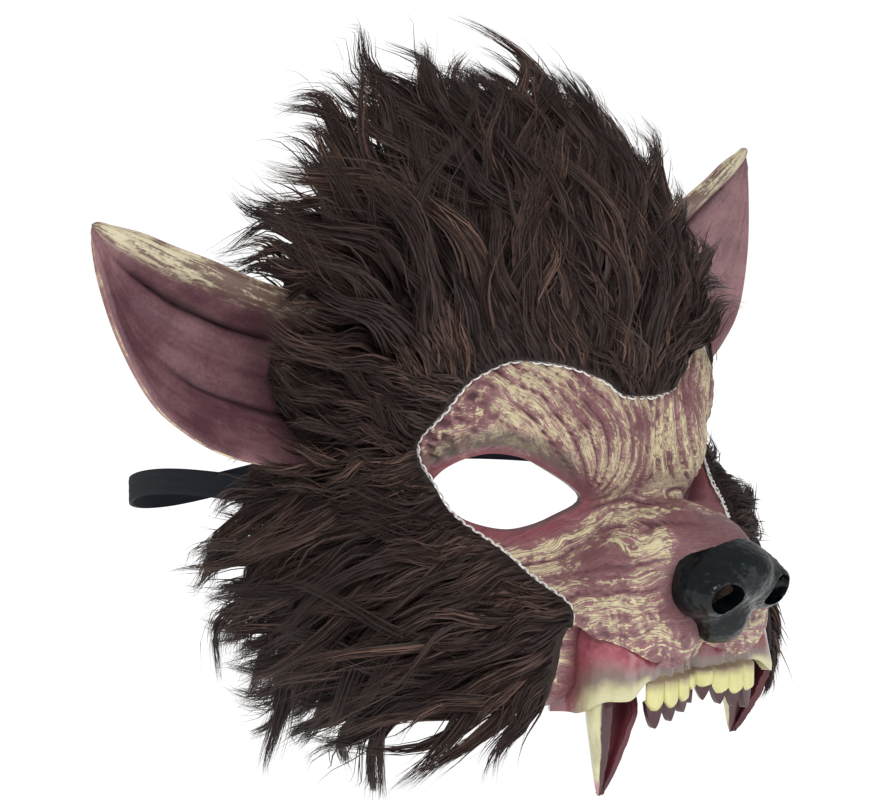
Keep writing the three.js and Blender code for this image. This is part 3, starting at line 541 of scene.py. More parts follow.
def painted_latex(p):
    place = p.place()
    across, run, proud = p.attribute("fold")
    lid, shade, bare = p.attribute("zone")
    streak = p.grain(p.triple(across * 1.1, run * 0.16, proud * 0.5), 1.0, 6, 0.7, 0.7)
    vein = (1 - p.maths("ABSOLUTE", streak - 0.5) * 11).between(0.0, 0.9)
    speckle = p.grain(place, 900, 4, 0.7)
    cloud = p.grain(place, 55, 4, 0.65, 0.4)
    laid_on = vein * 0.36 + proud * 0.55 + cloud * 1.3 + speckle * 0.5
    dry = laid_on.between(1.59, 1.66)
    wash = laid_on.between(1.35, 2.0)
    # Cream is kept off the lids, the bare inside and the band of painted shade under the brow
    kept = (1 - lid * 0.85) * (1 - bare) * (1 - shade * 0.7)
    skin_tone = (cloud * 0.8 + speckle * 0.4).between(0.45, 0.75).mix(LATEX_MAUVE, LATEX_PINK)
    # Painted shade: the grooves between the folds are darkened towards deep mauve, as shade in the relief
    groove_shade = (1 - proud).between(0.42, 0.95)
    toned = (groove_shade * 0.9).mix(skin_tone, GROOVE_SHADE_DARK)
    # Painted shade: an olive-grey band in the shadow of the brow, just above the eye hole
    brow_shade = (shade * (streak * 0.8 + cloud * 0.7)).between(0.35, 0.9)
    toned = (brow_shade * 0.8).mix(toned, BROW_SHADE_OLIVE)
    toned = (lid * 0.75).mix(toned, LID_RED)
    toned = (wash * kept * 0.3).mix(toned, LATEX_CREAM)
    toned = (dry * kept * 0.85).mix(toned, LATEX_CREAM)
    toned = bare.mix(toned, BARE_MAROON)
    height = vein * 0.4 + streak * 0.5 + speckle * 0.4
    return {"Base Color": toned, "Roughness": 0.4 + dry * 0.25,
            "Normal": p.bump(height, 0.5, 0.7)}


skin_points = corners_of(shell)
across, run, proud, _, fade = skin(skin_points)
bare = step_up(-face(skin_points), 1.6, 2.2)
gap = eye_gap(skin_points)
along, rise = eye_plane(skin_points)
lid = (1 - step_up(gap, 1.0, 5.5)) * step_up(-rise + 0.1 * along, -4, 2)
lid = np.maximum(lid, 1 - step_up(gap, 0.6, 1.6))
# The band in the shadow of the brow, just above the eye hole, which takes the painted shade
shade_under_brow = step_up(gap, 0.5, 3) * (1 - step_up(gap, 5, 11)) * step_up(rise, 2, 7) * step_up(along, -4, 8)
store(shell, "fold", (across, run, proud * fade + 0.35 * (1 - fade)))
store(shell, "zone", (lid, shade_under_brow, bare))
shell.data.materials.append(finish_of("painted_latex", painted_latex, Coat_Weight=0.06, Coat_Roughness=0.35))
smooth(shell)
carry(shell, "painted_latex", "mask_shell")

# The nose is cast with the face and coated in thick black gloss. Its nostrils are open to the
# hollow behind them, each with a raised rim.
NOSE_SIZE = (17.0, 20.0, 15.0)
NOSE_BACK = -43.0
NOSTRIL_HALF = (5.5, 10.0, 4.5)
NOSTRIL_TURN = math.radians(24)
NOSTRIL_RIM = 1.1
NOSTRIL_RIM_WIDTH = 1.7
PEBBLE = 0.14
nose_forms = [
    (0, 0.1, 0.2, 0.8, 0.9, 0.72, 0, 1, True),
    (0.55, 0.02, -0.02, 0.5, 0.66, 0.6, 20, 4, True),
    (0, 0.15, -0.6, 0.45, 0.6, 0.6, 0, 5, True),
]
nose_field = field_of(forms_of(nose_forms, NOSE_SIZE, NOSE_PLACE))
nostril_place = NOSE_PLACE + np.array((0.66, -0.62, -0.16)) * NOSE_SIZE
turn_cos = math.cos(NOSTRIL_TURN)
turn_sin = math.sin(NOSTRIL_TURN)
nostril_form = field_of([(nostril_place, NOSTRIL_HALF, turn_cos, turn_sin, 1, True)])
nose = star_form("nose_tip", nose_field, NOSE_PLACE, 0.0, 128, 96)
nose_points = corners_of(nose)
rim_lift = NOSTRIL_RIM * hump(nostril_form(nose_points), NOSTRIL_RIM_WIDTH)
rim_lift = rim_lift * step_up(-nose_points[:, 1], 48, 52)
pebbles = PEBBLE * (step_up(cell_walls(nose_points * 0.55), 0.05, 0.4) - 0.5)
set_corners(nose, nose_points + slope_of(nose_field, nose_points) * (rim_lift + pebbles)[:, None])
use_tool(nose, star_form("hollow", nose_field, NOSE_PLACE, -LATEX_WALL, 48, 32), "DIFFERENCE")
behind = [(x * HEAD[0], NOSE_BACK, z * HEAD[2]) for x, z in ((-1, -1), (1, -1), (1, 1), (-1, 1))]
use_tool(nose, prism(behind, (0, 2 * HEAD[1], 0)), "DIFFERENCE")
for side in (1, -1):
    bpy.ops.object.select_all(action="DESELECT")
    bpy.ops.mesh.primitive_uv_sphere_add(segments=40, ring_count=24, radius=MM)
    hole = bpy.context.object
    x, y, z = (corners_of(hole) * NOSTRIL_HALF).T
    turned = triples(x * turn_cos - y * turn_sin, x * turn_sin + y * turn_cos, z)
    set_corners(hole, (turned + nostril_place) * (side, 1, 1))
    turn_outwards(hole)
    use_tool(nose, hole, "DIFFERENCE")


def nose_gloss(p):
    place = p.place()
    pores = p.node("ShaderNodeTexVoronoi", {"feature": "SMOOTH_F1"}, {"Vector": place, "Scale": 520.0})
    cloud = p.grain(place, 90)
    tint = cloud.between(0.3, 0.7).mix((0.0008, 0.0015, 0.002), (0.002, 0.0055, 0.008))
    return {"Base Color": tint, "Roughness": 0.2 + cloud * 0.2,
            "Normal": p.bump(pores * 1.5 + cloud * 0.5, 0.7, 0.5)}


nose.data.materials.append(finish_of("nose_gloss", nose_gloss, Specular_IOR_Level=0.15,
                                     Coat_Weight=0.25, Coat_Roughness=0.05))
smooth(nose, 50)
carry(nose, "nose_gloss", "nose")

# The gums are one glossy red band behind the lip, swollen over each root.
GUM_THICKNESS = 4.0
GUM_OVERLAP = 6.0
GUM_LINE = -47.5
GUM_REAR_DROP = 9.0
GUM_END = math.radians(72)
FANG_SWELL = 6.0
ROOT_SWELL = 0.8
ARCH_Y = -5.0
ARCH_STEPS = 200
FANG_X = 31.0
TOOTH_WIDTH = 5.8
TEETH_A_SIDE = 4


def lip_height(y):
    return np.interp(y, lip_line[:, 0], lip_line[:, 1])


def arch_point(angle, z, inset):
    """A point on the arch inside the face's wall, at an angle round it and a height."""
    rays = triples(np.sin(angle), -np.cos(angle), 0)
    y = -MUZZLE[1] * 0.7 * np.cos(angle) + ARCH_Y
    for _ in range(3):
        start = triples(0, ARCH_Y, np.maximum(z, lip_height(y) + 2))
        out = reach(face, start, rays, -LATEX_WALL - CLEARANCE)
        y = ARCH_Y - out * np.cos(angle)
    return triples(0, ARCH_Y, z) + rays * (out - inset)[:, None]


arch_angles = np.linspace(0, math.pi / 2, ARCH_STEPS)
arch_x = arch_point(arch_angles, np.full(ARCH_STEPS, GUM_LINE), np.zeros(ARCH_STEPS))[:, 0]


def arch_angle_at(x):
    return float(np.interp(x, arch_x, arch_angles))


fang_angle = arch_angle_at(FANG_X)


def sheet(name, columns, rows):
    """A flat grid to be bent in code. Gives the piece, and each corner's two shares."""
    bpy.ops.object.select_all(action="DESELECT")
    bpy.ops.mesh.primitive_grid_add(x_subdivisions=columns, y_subdivisions=rows, size=2 * MM)
    piece = bpy.context.object
    piece.name = name
    shares = (corners_of(piece)[:, :2] + 1) / 2
    return piece, shares[:, 0], shares[:, 1]


def thicken(piece, wall, outward, front, back, offset=-1, rounding=None, rim=1):
    """Turns the sheet to face a side, then gives it a wall behind in a finish of its own."""
    piece.data.materials.append(front)
    piece.data.materials.append(back)
    points = corners_of(piece)
    normals = np.empty(3 * len(points))
    piece.data.vertices.foreach_get("normal", normals)
    if np.sum(normals.reshape(-1, 3) * outward(points)) < 0:
        piece.data.flip_normals()
    only(piece)
    solid = piece.modifiers.new("wall", "SOLIDIFY")
    solid.thickness = wall * MM
    solid.offset = offset
    if rounding is not None:
        group = piece.vertex_groups.new(name="wall")
        for corner, share in enumerate(rounding):
            group.add([corner], float(share), "REPLACE")
        solid.vertex_group = group.name
        solid.thickness_vertex_group = 0.02
    solid.material_offset = 1
    solid.material_offset_rim = rim
    bpy.ops.object.modifier_apply(modifier=solid.name)


gum, gum_u, gum_v = sheet("gum_band_gloss", 200, 22)
gum_angle = (2 * gum_u - 1) * GUM_END
gum_edge_y = arch_point(gum_angle, np.full_like(gum_angle, GUM_LINE), np.zeros_like(gum_angle))[:, 1]
gum_top = lip_height(gum_edge_y - LATEX_WALL) + GUM_OVERLAP
gum_turn = np.abs(gum_angle)
tooth_end = arch_angle_at(TOOTH_WIDTH * TEETH_A_SIDE)
tooth_step = tooth_end / TEETH_A_SIDE
gum_drop = step_up(gum_turn, tooth_end - 0.02, fang_angle - 0.1)
gum_drop = gum_drop + step_up(gum_turn, fang_angle, fang_angle + 0.25)
gum_bottom = GUM_LINE - 0.5 * GUM_REAR_DROP * gum_drop
gum_z = gum_bottom + (gum_top - gum_bottom) * gum_v
roots = np.abs(np.cos(math.pi * np.clip(gum_turn / tooth_step, 0, TEETH_A_SIDE)))
by_fang = np.exp(-((gum_turn - fang_angle) / 0.24) ** 4)
swell = FANG_SWELL * by_fang * np.clip(1.1 - gum_v, 0, 1) ** 0.6
swell = swell + ROOT_SWELL * (1 - roots) * np.clip(1 - gum_v, 0, 1) ** 0.8
swell = swell - 0.5 * noise(triples(gum_angle * 26, gum_z * 0.2, 0))
set_corners(gum, arch_point(gum_angle, gum_z, 1.0 - swell))


def away_from_arch(points):
    return points - (0, ARCH_Y, points[:, 2].mean())


def gum_gloss(p):
    place = p.place()
    up, hood, rear = p.attribute("gum")
    cloud = p.grain(place, 90)
    fine = p.grain(place, 420)
    tone = (cloud * 0.8 + fine * 0.3).between(0.35, 0.75).mix((0.16, 0.018, 0.032), (0.42, 0.12, 0.15))
    low = 1 - up + cloud * 0.3 + hood * 0.12
    tone = low.between(0.65, 1.0).mix(tone, (0.18, 0.13, 0.11))
    tone = (low.between(0.95, 1.15) * hood.between(0.03, 0.4)).mix(tone, (0.5, 0.47, 0.27))
    tone = rear.mix(tone, (0.22, 0.07, 0.08))
    return {"Base Color": tone, "Roughness": 0.16 + fine * 0.2,
            "Normal": p.bump(cloud + fine * 0.3, 0.8, 0.5)}


DEEP_MAROON = (0.05, 0.007, 0.012)


def bare_latex(p):
    cloud = p.grain(p.place(), 70)
    tone = cloud.between(0.3, 0.7).mix(DEEP_MAROON, BARE_MAROON)
    return {"Base Color": tone, "Roughness": 0.4 + cloud * 0.2}


gum_finish = finish_of("gum_gloss", gum_gloss, Coat_Weight=0.6, Coat_Roughness=0.08)
bare_finish = finish_of("bare_latex", bare_latex)
store(gum, "gum", (gum_v, by_fang, step_up(gum_turn, fang_angle + 0.1, fang_angle + 0.3)))
thicken(gum, GUM_THICKNESS - 1, away_from_arch, gum_finish, bare_finish, rim=0)
smooth(gum, 60)
carry(gum, "gum_gloss", "gum_band")

# The eight front teeth are cast as one row, cream in front and bare maroon latex behind, with
# an uncut pointed margin under them.
TOOTH_LENGTH = 8.5
TOOTH_MARGIN = 5.0
TOOTH_WALL = 2.2
TOOTH_RELIEF = 1.3
CUT_MAROON = (0.045, 0.007, 0.012)
# cream length, margin length and sharpness of the margin's point, from the middle outwards
tooth_rows = np.array([(0.62, 0.75, 1.1), (0.9, 0.6, 1.3), (1, 0.75, 1.1), (1, 1, 1.7)])
teeth, teeth_u, teeth_v = sheet("upper_teeth_row", 256, 32)
teeth_angle = (2 * teeth_u - 1) * tooth_step * TEETH_A_SIDE
tooth_place = np.minimum(np.abs(teeth_angle) / tooth_step, TEETH_A_SIDE - 1e-6)
cream_share, margin_share, point_share = tooth_rows[tooth_place.astype(int)].T
tooth_across = 2 * (tooth_place % 1) - 1
tooth_round = np.maximum(1 - np.abs(tooth_across) ** 2.4, 0)
tooth_point = np.maximum(1 - np.abs(tooth_across) ** point_share, 0)
cream_length = cream_share * TOOTH_LENGTH * (0.72 + 0.28 * tooth_round)
tooth_bottom = GUM_LINE - CLEARANCE - cream_length - margin_share * TOOTH_MARGIN * tooth_point
teeth_z = tooth_bottom + (GUM_LINE + 1.5 - tooth_bottom) * teeth_v
below = (GUM_LINE - teeth_z) / np.maximum(cream_length, 1)
proud = TOOTH_RELIEF * np.sqrt(tooth_round) * (1 - step_up(below, 0.9, 1.02))
sunk_root = 1 - step_up(below, -0.15, 0.15)
set_corners(teeth, arch_point(teeth_angle, teeth_z, 0.3 - proud * (1 - sunk_root) + 0.9 * sunk_root))
store(teeth, "tooth", (below, tooth_across, tooth_place))


def tooth_paint(p):
    place = p.place()
    low = p.attribute("tooth")[0]
    streak = p.grain(p.stretched(place, (1.0, 1.0, 0.16)), 700)
    cloud = p.grain(place, 150)
    cream = (streak * 0.7 + cloud * 0.4 - 0.1).mix((0.46, 0.43, 0.14), (0.68, 0.66, 0.34))
    root = 1 - low + cloud * 0.35 + streak * 0.25
    stained = (root.between(0.8, 1.3) * 0.9).mix(cream, (0.2, 0.13, 0.1))
    uncut = (low + streak * 0.12).between(1.04, 1.1)
    return {"Base Color": uncut.mix(stained, CUT_MAROON), "Roughness": 0.3 + cloud * 0.25,
            "Normal": p.bump(streak, 0.3, 0.4)}


tooth_finish = finish_of("tooth_paint", tooth_paint, Coat_Weight=0.15, Coat_Roughness=0.1)
thicken(teeth, TOOTH_WALL, away_from_arch, tooth_finish, bare_finish, rim=0)
smooth(teeth, 50)
carry(teeth, "tooth_paint", "upper_teeth")

# Each fang is a tapering wall of latex bent round most of a circle and open to the front. It
# is cream outside and bare maroon inside and along its uncut edges.
FANG_LENGTH = 39.0
FANG_RADIUS = 7.6
FANG_WALL = 2.0
FANG_FLANGE = 0.14
FANG_TOP = -42.0
FANG_OPEN = math.radians(-100)
FANG_WRAP = math.radians(250)
# along, radius, lean
fang_rows = np.array([
    (0, 0.4, 0), (0.06, 0.66, 0.02), (0.18, 0.88, 0.02), (0.36, 0.97, 0), (0.55, 0.78, -0.06),
    (0.75, 0.52, -0.16), (0.9, 0.3, -0.26), (1, 0.1, -0.34)])
fang_curve = curve_through(fang_rows, 200)
fang_root = arch_point(np.array([fang_angle]), np.array([GUM_LINE]), np.array([0.42 * FANG_RADIUS]))[0]


def fang_paint(p):
    place = p.place()
    along, _, away = p.attribute("fang")
    streak = p.grain(p.stretched(place, (1.0, 1.0, 0.12)), 500)
    cloud = p.grain(place, 80)
    cream = (streak * 0.6 + cloud * 0.4).between(0.35, 0.65).mix((0.42, 0.4, 0.24), (0.68, 0.64, 0.36))
    dirty = ((1 - along) * 0.8 + cloud * 0.5).between(0.7, 1.15).mix(cream, (0.14, 0.14, 0.09))
    tipped = (along + cloud * 0.15).between(0.93, 1.02).mix(dirty, (0.42, 0.2, 0.2))
    uncut = (away + streak * 0.16).between(0.88, 0.93)
    return {"Base Color": uncut.mix(tipped, CUT_MAROON), "Roughness": 0.25 + cloud * 0.25,
            "Normal": p.bump(streak, 0.3, 0.4)}


fang_finish = finish_of("fang_paint", fang_paint, Coat_Weight=0.4, Coat_Roughness=0.1)


def make_fang(name, node, side, length_share):
    fang, wrap, along = sheet(name, 48, 52)
    along = 1 - along
    radius = np.interp(along, fang_curve[:, 0], fang_curve[:, 1]) * FANG_RADIUS
    lean = np.interp(along, fang_curve[:, 0], fang_curve[:, 2])
    angle = FANG_OPEN + math.pi + FANG_WRAP * (wrap - 0.5)
    edge = np.abs(2 * wrap - 1)
    ragged = 0.6 + 0.8 * noise(triples(along * 30, wrap, 0))
    flange = 1 + FANG_FLANGE * step_up(edge, 0.86, 1) * step_up(along, 0.2, 0.3) * ragged
    wave = radius * flange + 0.25 * noise(triples(wrap * 9, along * 3, side))
    centre = triples(fang_root[0], fang_root[1] - lean * 0.3 * FANG_LENGTH,
                     FANG_TOP - along * FANG_LENGTH * length_share)
    ring = triples(wave * np.cos(angle), 0.9 * wave * np.sin(angle), 0)
    set_corners(fang, (centre + ring) * (side, 1, 1))
    store(fang, "fang", (along, wrap, edge))
    thicken(fang, FANG_WALL, lambda points: ring * (side, 1, 0), fang_finish, bare_finish)
    smooth(fang, 50)
    carry(fang, "tooth_paint", node)


make_fang("fang_right_shell", "fang_right", -1, 1.0)
make_fang("fang_left_shell", "fang_left", 1, 0.76)

# The ears are latex leaves cast in one with the face. The front is a cup with long soft
# ridges, and the upper edge is rolled over and dry-brushed with cream.
EAR_LENGTH = 69.0
EAR_HEIGHT = 50.0
EAR_CUP = 15.0
EAR_WALL = 3.0
EAR_FOLD = 2.6
EAR_LOW_FOLD = 1.8
EAR_ROOT = np.array([0.0, 48.0, 35.0])
EAR_BACK_TURN = 10.0
EAR_LEAN = 9.0
LEFT_EAR_LIFT = 3.0
LEFT_EAR_BACK_TURN = 2.0
LEFT_EAR_RAISE = 8.0
# along, top, bottom, cup, roll
ear_rows = np.array([
    (-0.12, 0.36, -0.48, 0.8, 0.25), (0.02, 0.44, -0.52, 1, 0.42), (0.16, 0.5, -0.51, 1, 0.5),
    (0.32, 0.58, -0.47, 0.95, 0.5), (0.48, 0.68, -0.4, 0.85, 0.46), (0.63, 0.76, -0.28, 0.7, 0.4),
    (0.78, 0.85, -0.09, 0.5, 0.32), (0.9, 0.9, 0.24, 0.28, 0.2), (0.97, 0.93, 0.58, 0.1, 0.08),
    (1, 0.92, 0.83, 0.02, 0.02)])
ear_curve = curve_through(ear_rows, 300)
ear_stops = (ear_curve[:, 0] - ear_curve[0, 0]) / (ear_curve[-1, 0] - ear_curve[0, 0])
EAR_ROOT[0] = reach(face, EAR_ROOT, np.array([[1.0, 0, 0]]))[0]


def ear_matrix(side):
    root = Vector(EAR_ROOT)
    lift = LEFT_EAR_LIFT if side > 0 else 0
    root.z += LEFT_EAR_RAISE if side > 0 else 0
    back_turn = LEFT_EAR_BACK_TURN if side > 0 else EAR_BACK_TURN
    upright = Matrix(((1, 0, 0), (0, 0, -1), (0, 1, 0))).to_4x4()
    place = (Matrix.Translation(root) @ Matrix.Rotation(math.radians(back_turn), 4, "Z")
             @ Matrix.Rotation(math.radians(-EAR_LEAN), 4, "X") @ upright
             @ Matrix.Rotation(math.radians(lift), 4, "Z"))
    return np.array(place)


def ear_front(p):
    place = p.place()
    along, across, fold_shade = p.attribute("ear")
    veins = p.grain(p.triple(along * 3.0, across * 16.0), 1.0, 4, 0.6, 0.4)
    cloud = p.grain(place, 45)
    speckle = p.grain(place, 800, 4, 0.7)
    mottle = (cloud * 0.7 + veins * 0.35 + speckle * 0.3).between(0.5, 0.95)
    tone = mottle.mix((0.09, 0.034, 0.045), (0.27, 0.14, 0.15))
    # Painted shade: the folds, and the groove under the rolled rim, are darkened to near black
    toned = fold_shade.between(0.1, 0.95).mix(tone, (0.022, 0.008, 0.011))
    # Painted shade: the ear darkens towards its root
    toned = ((1 - along) + cloud * 0.3).between(0.75, 1.15).mix(toned, (0.045, 0.015, 0.02))
    rolled = (1 - across + cloud * 0.05).between(0.88, 0.93)
    streak = p.grain(p.triple(along * 9.0, across * 60.0), 1.0, 5, 0.7, 0.5)
    dry = (streak * 0.9 + cloud * 0.5 + speckle * 0.3).between(0.8, 0.98)
    brushed = dry.mix((0.13, 0.075, 0.06), (0.52, 0.46, 0.31))
    return {"Base Color": rolled.mix(toned, brushed), "Roughness": 0.42 + cloud * 0.2,
            "Normal": p.bump(veins + speckle * 0.5, 0.6, 0.6)}


def ear_back(p):
    place = p.place()
    along, across, _ = p.attribute("ear")
    streak = p.grain(p.triple(along * 6.0, across * 60.0), 1.0, 5, 0.65, 0.3)
    cloud = p.grain(place, 60)
    speckle = p.grain(place, 900, 4, 0.7)
    dry = (streak * 0.9 + cloud * 0.4 + speckle * 0.3).between(0.78, 0.95)
    tone = cloud.between(0.35, 0.65).mix((0.2, 0.085, 0.09), (0.33, 0.19, 0.17))
    return {"Base Color": dry.mix(tone, (0.66, 0.6, 0.34)), "Roughness": 0.5 + cloud * 0.15,
            "Normal": p.bump(streak + speckle * 0.3, 0.5, 0.6)}


ear_front_finish = finish_of("ear_front", ear_front, Coat_Weight=0.05)
ear_back_finish = finish_of("ear_back", ear_back, Coat_Weight=0.05)


def make_ear(name, node, side):
    ear, along_even, across_even = sheet(name, 84, 72)
    along = 0.5 * (along_even + (1 - np.cos(math.pi * along_even)) / 2)
    across = (1 - np.cos(math.pi * across_even)) / 2
    out, top, bottom, cup, roll = (np.interp(along, ear_stops, column) for column in ear_curve.T)
    bowl = np.sin(math.pi * np.clip(across, 0, 1) ** 0.85) ** 0.8
    rim = hump(across - 0.08, 0.09)
    waves = noise(triples(along * 5, across * 3, 2.5 + side)) - 0.5
    fold = hump(across - 0.24 - 0.05 * waves, 0.045)
    fold = fold * step_up(along, 0.1, 0.25) * (1 - step_up(along, 0.75, 0.95))
    low_fold = 0.8 * hump(across - 0.72 + 0.12 * along, 0.04) * (1 - step_up(along, 0.55, 0.8))
    ridge = 0.9 * np.sin(across * 24 + 5 * waves + along * 2) * (1 - along) * bowl
    depth = EAR_CUP * (roll * rim - cup * bowl) - EAR_FOLD * fold - EAR_LOW_FOLD * low_fold
    depth = depth + ridge + 1.5 * waves * bowl
    up = (top + (bottom - top) * across) * EAR_HEIGHT
    flat = np.stack([out * EAR_LENGTH, up, depth, np.ones_like(depth)], -1)
    placed = (flat @ ear_matrix(side).T)[:, :3]
    set_corners(ear, placed * (side, 1, 1))
    # The third number marks the folds, for the painted shade in them
    store(ear, "ear", (along, across, np.maximum(fold, low_fold)))
    from_side = np.minimum(across, 1 - across) * (top - bottom) * EAR_HEIGHT
    to_edge = np.minimum(from_side, (1 - along) * EAR_LENGTH)
    rounding = np.sqrt(1 - (1 - np.clip(to_edge / EAR_WALL, 0, 1)) ** 2)
    thicken(ear, EAR_WALL, lambda points: np.broadcast_to((0.0, -1.0, 0.0), points.shape),
            ear_front_finish, ear_back_finish, 0, rounding)
    use_tool(ear, star_form("head", face, FACE_CENTRE, CLEARANCE, 96, 72, POLE_DIP), "DIFFERENCE")
    smooth(ear, 60)
    carry(ear, "ear_latex", node)


make_ear("ear_right_leaf", "ear_right", -1)
make_ear("ear_left_leaf", "ear_left", 1)

# The fur is long-pile fabric, cut round the bare face and sewn on. Under the locks lies a
# dense mass of shorter hair on a knitted backing, painted near black as the shade deep in the pile.
FUR_BACKING = 1.5
CROWN_PILE = 22.0
SIDE_PILE = 8.0
CHEEK_PILE = 15.0
PILE_GROWTH = math.radians(26)
FUR_SPLIT = 3.0
UNDER_SHARE = 0.1
ROOT_SHARE = 0.6 * UNDER_SHARE
BACKING_TOP = CLEARANCE + FUR_BACKING
FUR_FRONT = 0.3
FUR_STEP = 0.012
EAR_CLEAR = (16, 58)
# wide and tall as shares of the head's half width and height, from the peak down the side
fur_rows = [(0.15, 0.38), (0.22, 0.43), (0.37, 0.49), (0.55, 0.515), (0.64, 0.495), (0.745, 0.435),
            (0.825, 0.32), (0.855, 0.225), (0.835, 0.105), (0.8, -0.025), (0.69, -0.16), (0.585, -0.3),
            (0.6, -0.4), (0.65, -0.54), (0.68, -0.665), (0.69, -1.2)]
fur_side = curve_through(np.array([(0.0, 0.365)] + fur_rows) * (HEAD[0], HEAD[2]), 100)
fur_outline = np.vstack([fur_side * (-1, 1), fur_side[:0:-1]])


def inside_outline(outline, x, z):
    """Which points lie inside a closed outline, by how many of its lines each one passes."""
    inside = np.zeros(len(x), bool)
    for (ax, az), (bx, bz) in zip(outline, np.roll(outline, 1, axis=0)):
        if az != bz:
            crosses = ((az > z) != (bz > z)) & (x < ax + (bx - ax) * (z - az) / (bz - az))
            inside ^= crosses
    return inside


DIP_COS = math.cos(math.radians(POLE_DIP))
DIP_SIN = math.sin(math.radians(POLE_DIP))


def rays_at(from_front, around):
    """Directions by the angle from the front pole and the angle round it."""
    y = -np.cos(from_front)
    z = np.sin(from_front) * np.sin(around)
    return triples(np.sin(from_front) * np.cos(around), y * DIP_COS - z * DIP_SIN, y * DIP_SIN + z * DIP_COS)


def face_at(from_front, around, level=0.0):
    rays = rays_at(from_front, around)
    return FACE_CENTRE + rays * reach(face, FACE_CENTRE, rays, level)[:, None]


hair_around = np.linspace(-math.pi, math.pi, 181)
hair_front = np.arange(FUR_FRONT, SHELL_RIM, FUR_STEP)
hair_grid_front, hair_grid_around = np.meshgrid(hair_front, hair_around)
hair_points = face_at(hair_grid_front.ravel(), hair_grid_around.ravel(), BACKING_TOP)
hair_bare = inside_outline(fur_outline, hair_points[:, 0], hair_points[:, 2]).reshape(hair_grid_front.shape)
hair_start = np.where(hair_bare.all(1), SHELL_RIM, hair_front[np.argmin(hair_bare, axis=1)])


def near_ear(points):
    side = np.sign(points[:, 0])
    root = triples(side * EAR_ROOT[0], EAR_ROOT[1], EAR_ROOT[2] + np.where(side > 0, LEFT_EAR_RAISE, 0))
    return np.linalg.norm(points - root, axis=1)


def fur_starts(around):
    """How far from the front pole the fur begins, at an angle round it."""
    return np.interp(around, hair_around, hair_start)


def pile_depth(from_front, around, points):
    start = fur_starts((around + math.pi) % (2 * math.pi) - math.pi)
    grown = step_up(from_front, start - 0.02, start + PILE_GROWTH)
    by_ear = 0.2 + 0.8 * step_up(near_ear(points), *EAR_CLEAR)
    upward = np.sin(around)
    crown = SIDE_PILE + (CROWN_PILE - SIDE_PILE) * step_up(upward, 0.25, 0.9)
    return np.where(upward > 0, crown, CHEEK_PILE) * grown * by_ear


def angles_of(rays):
    y = rays[:, 1] * DIP_COS + rays[:, 2] * DIP_SIN
    z = rays[:, 2] * DIP_COS - rays[:, 1] * DIP_SIN
    return np.arccos(np.clip(-y, -1, 1)), np.arctan2(z, rays[:, 0])


def under_level(rays):
    from_front, around = angles_of(rays)
    points = FACE_CENTRE + rays * reach(face, FACE_CENTRE, rays)[:, None]
    depth = pile_depth(np.minimum(from_front, SHELL_RIM), around, points)
    lumps = 0.75 + 0.5 * noise(points * 0.14)
    return BACKING_TOP + UNDER_SHARE * depth * lumps


def box_tool(low, high):
    plan = ((low[0], low[1]), (high[0], low[1]), (high[0], high[1]), (low[0], high[1]))
    return prism([(x, y, low[2]) for x, y in plan], (0, 0, high[2] - low[2]))


FAR = 4 * HEAD[0]
under = star_form("under_fur", face, FACE_CENTRE, under_level, 180, 130, POLE_DIP)
use_tool(under, star_form("head", face, FACE_CENTRE, CLEARANCE, 180, 130, POLE_DIP), "DIFFERENCE")
use_tool(under, trim_tool(), "INTERSECT")
opening = triples(fur_outline[:, 0], -FAR, fur_outline[:, 1])
use_tool(under, prism(opening, (0, 2 * FAR, 0)), "DIFFERENCE")


def part_of_under(name, low, high):
    piece = under.copy()
    piece.data = under.data.copy()
    piece.name = name
    bpy.context.scene.collection.objects.link(piece)
    use_tool(piece, box_tool(low, high), "INTERSECT")
    points = corners_of(piece)
    # A share of 0 along the strand gives the mass the full painted root shade, near black
    store(piece, "strand", (np.zeros(len(points)), noise(points * 0.5), noise(points * 0.1)))
    return piece


# Locks grow from the backing over the flow of the pile, each a sheaf of thin tapering strands
# that close up to one tip. They wave, and a few strands stray.
STRAND_STEPS = 8
STRAND_WIDTH = 0.56
STRAY_SHARE = 0.1
LOCK_SPREAD = 0.28
LOCK_SWIRL = 1.5
LOCK_FLICK = 0.18
LOCK_WAVE = 0.1
LOCK_GATHER = (0.66, 0.96)
STRAY_GATHER = 0.25
STRAND_REACH = (0.72, 1.04)
STRAND_JITTER = 0.8
STRAY_JITTER = 3.0
HEAD_WRAP = 0.4
HEAD_REACH = 62
SEED_MARGIN = 22
SEED_SIZE = 105
EAR_SEAT = (4, 20)
EDGE_BAND = 9.0
EDGE_REACH = 90.0
TRIM_LINE = -76.0
TRIM_ROOM = 18.0


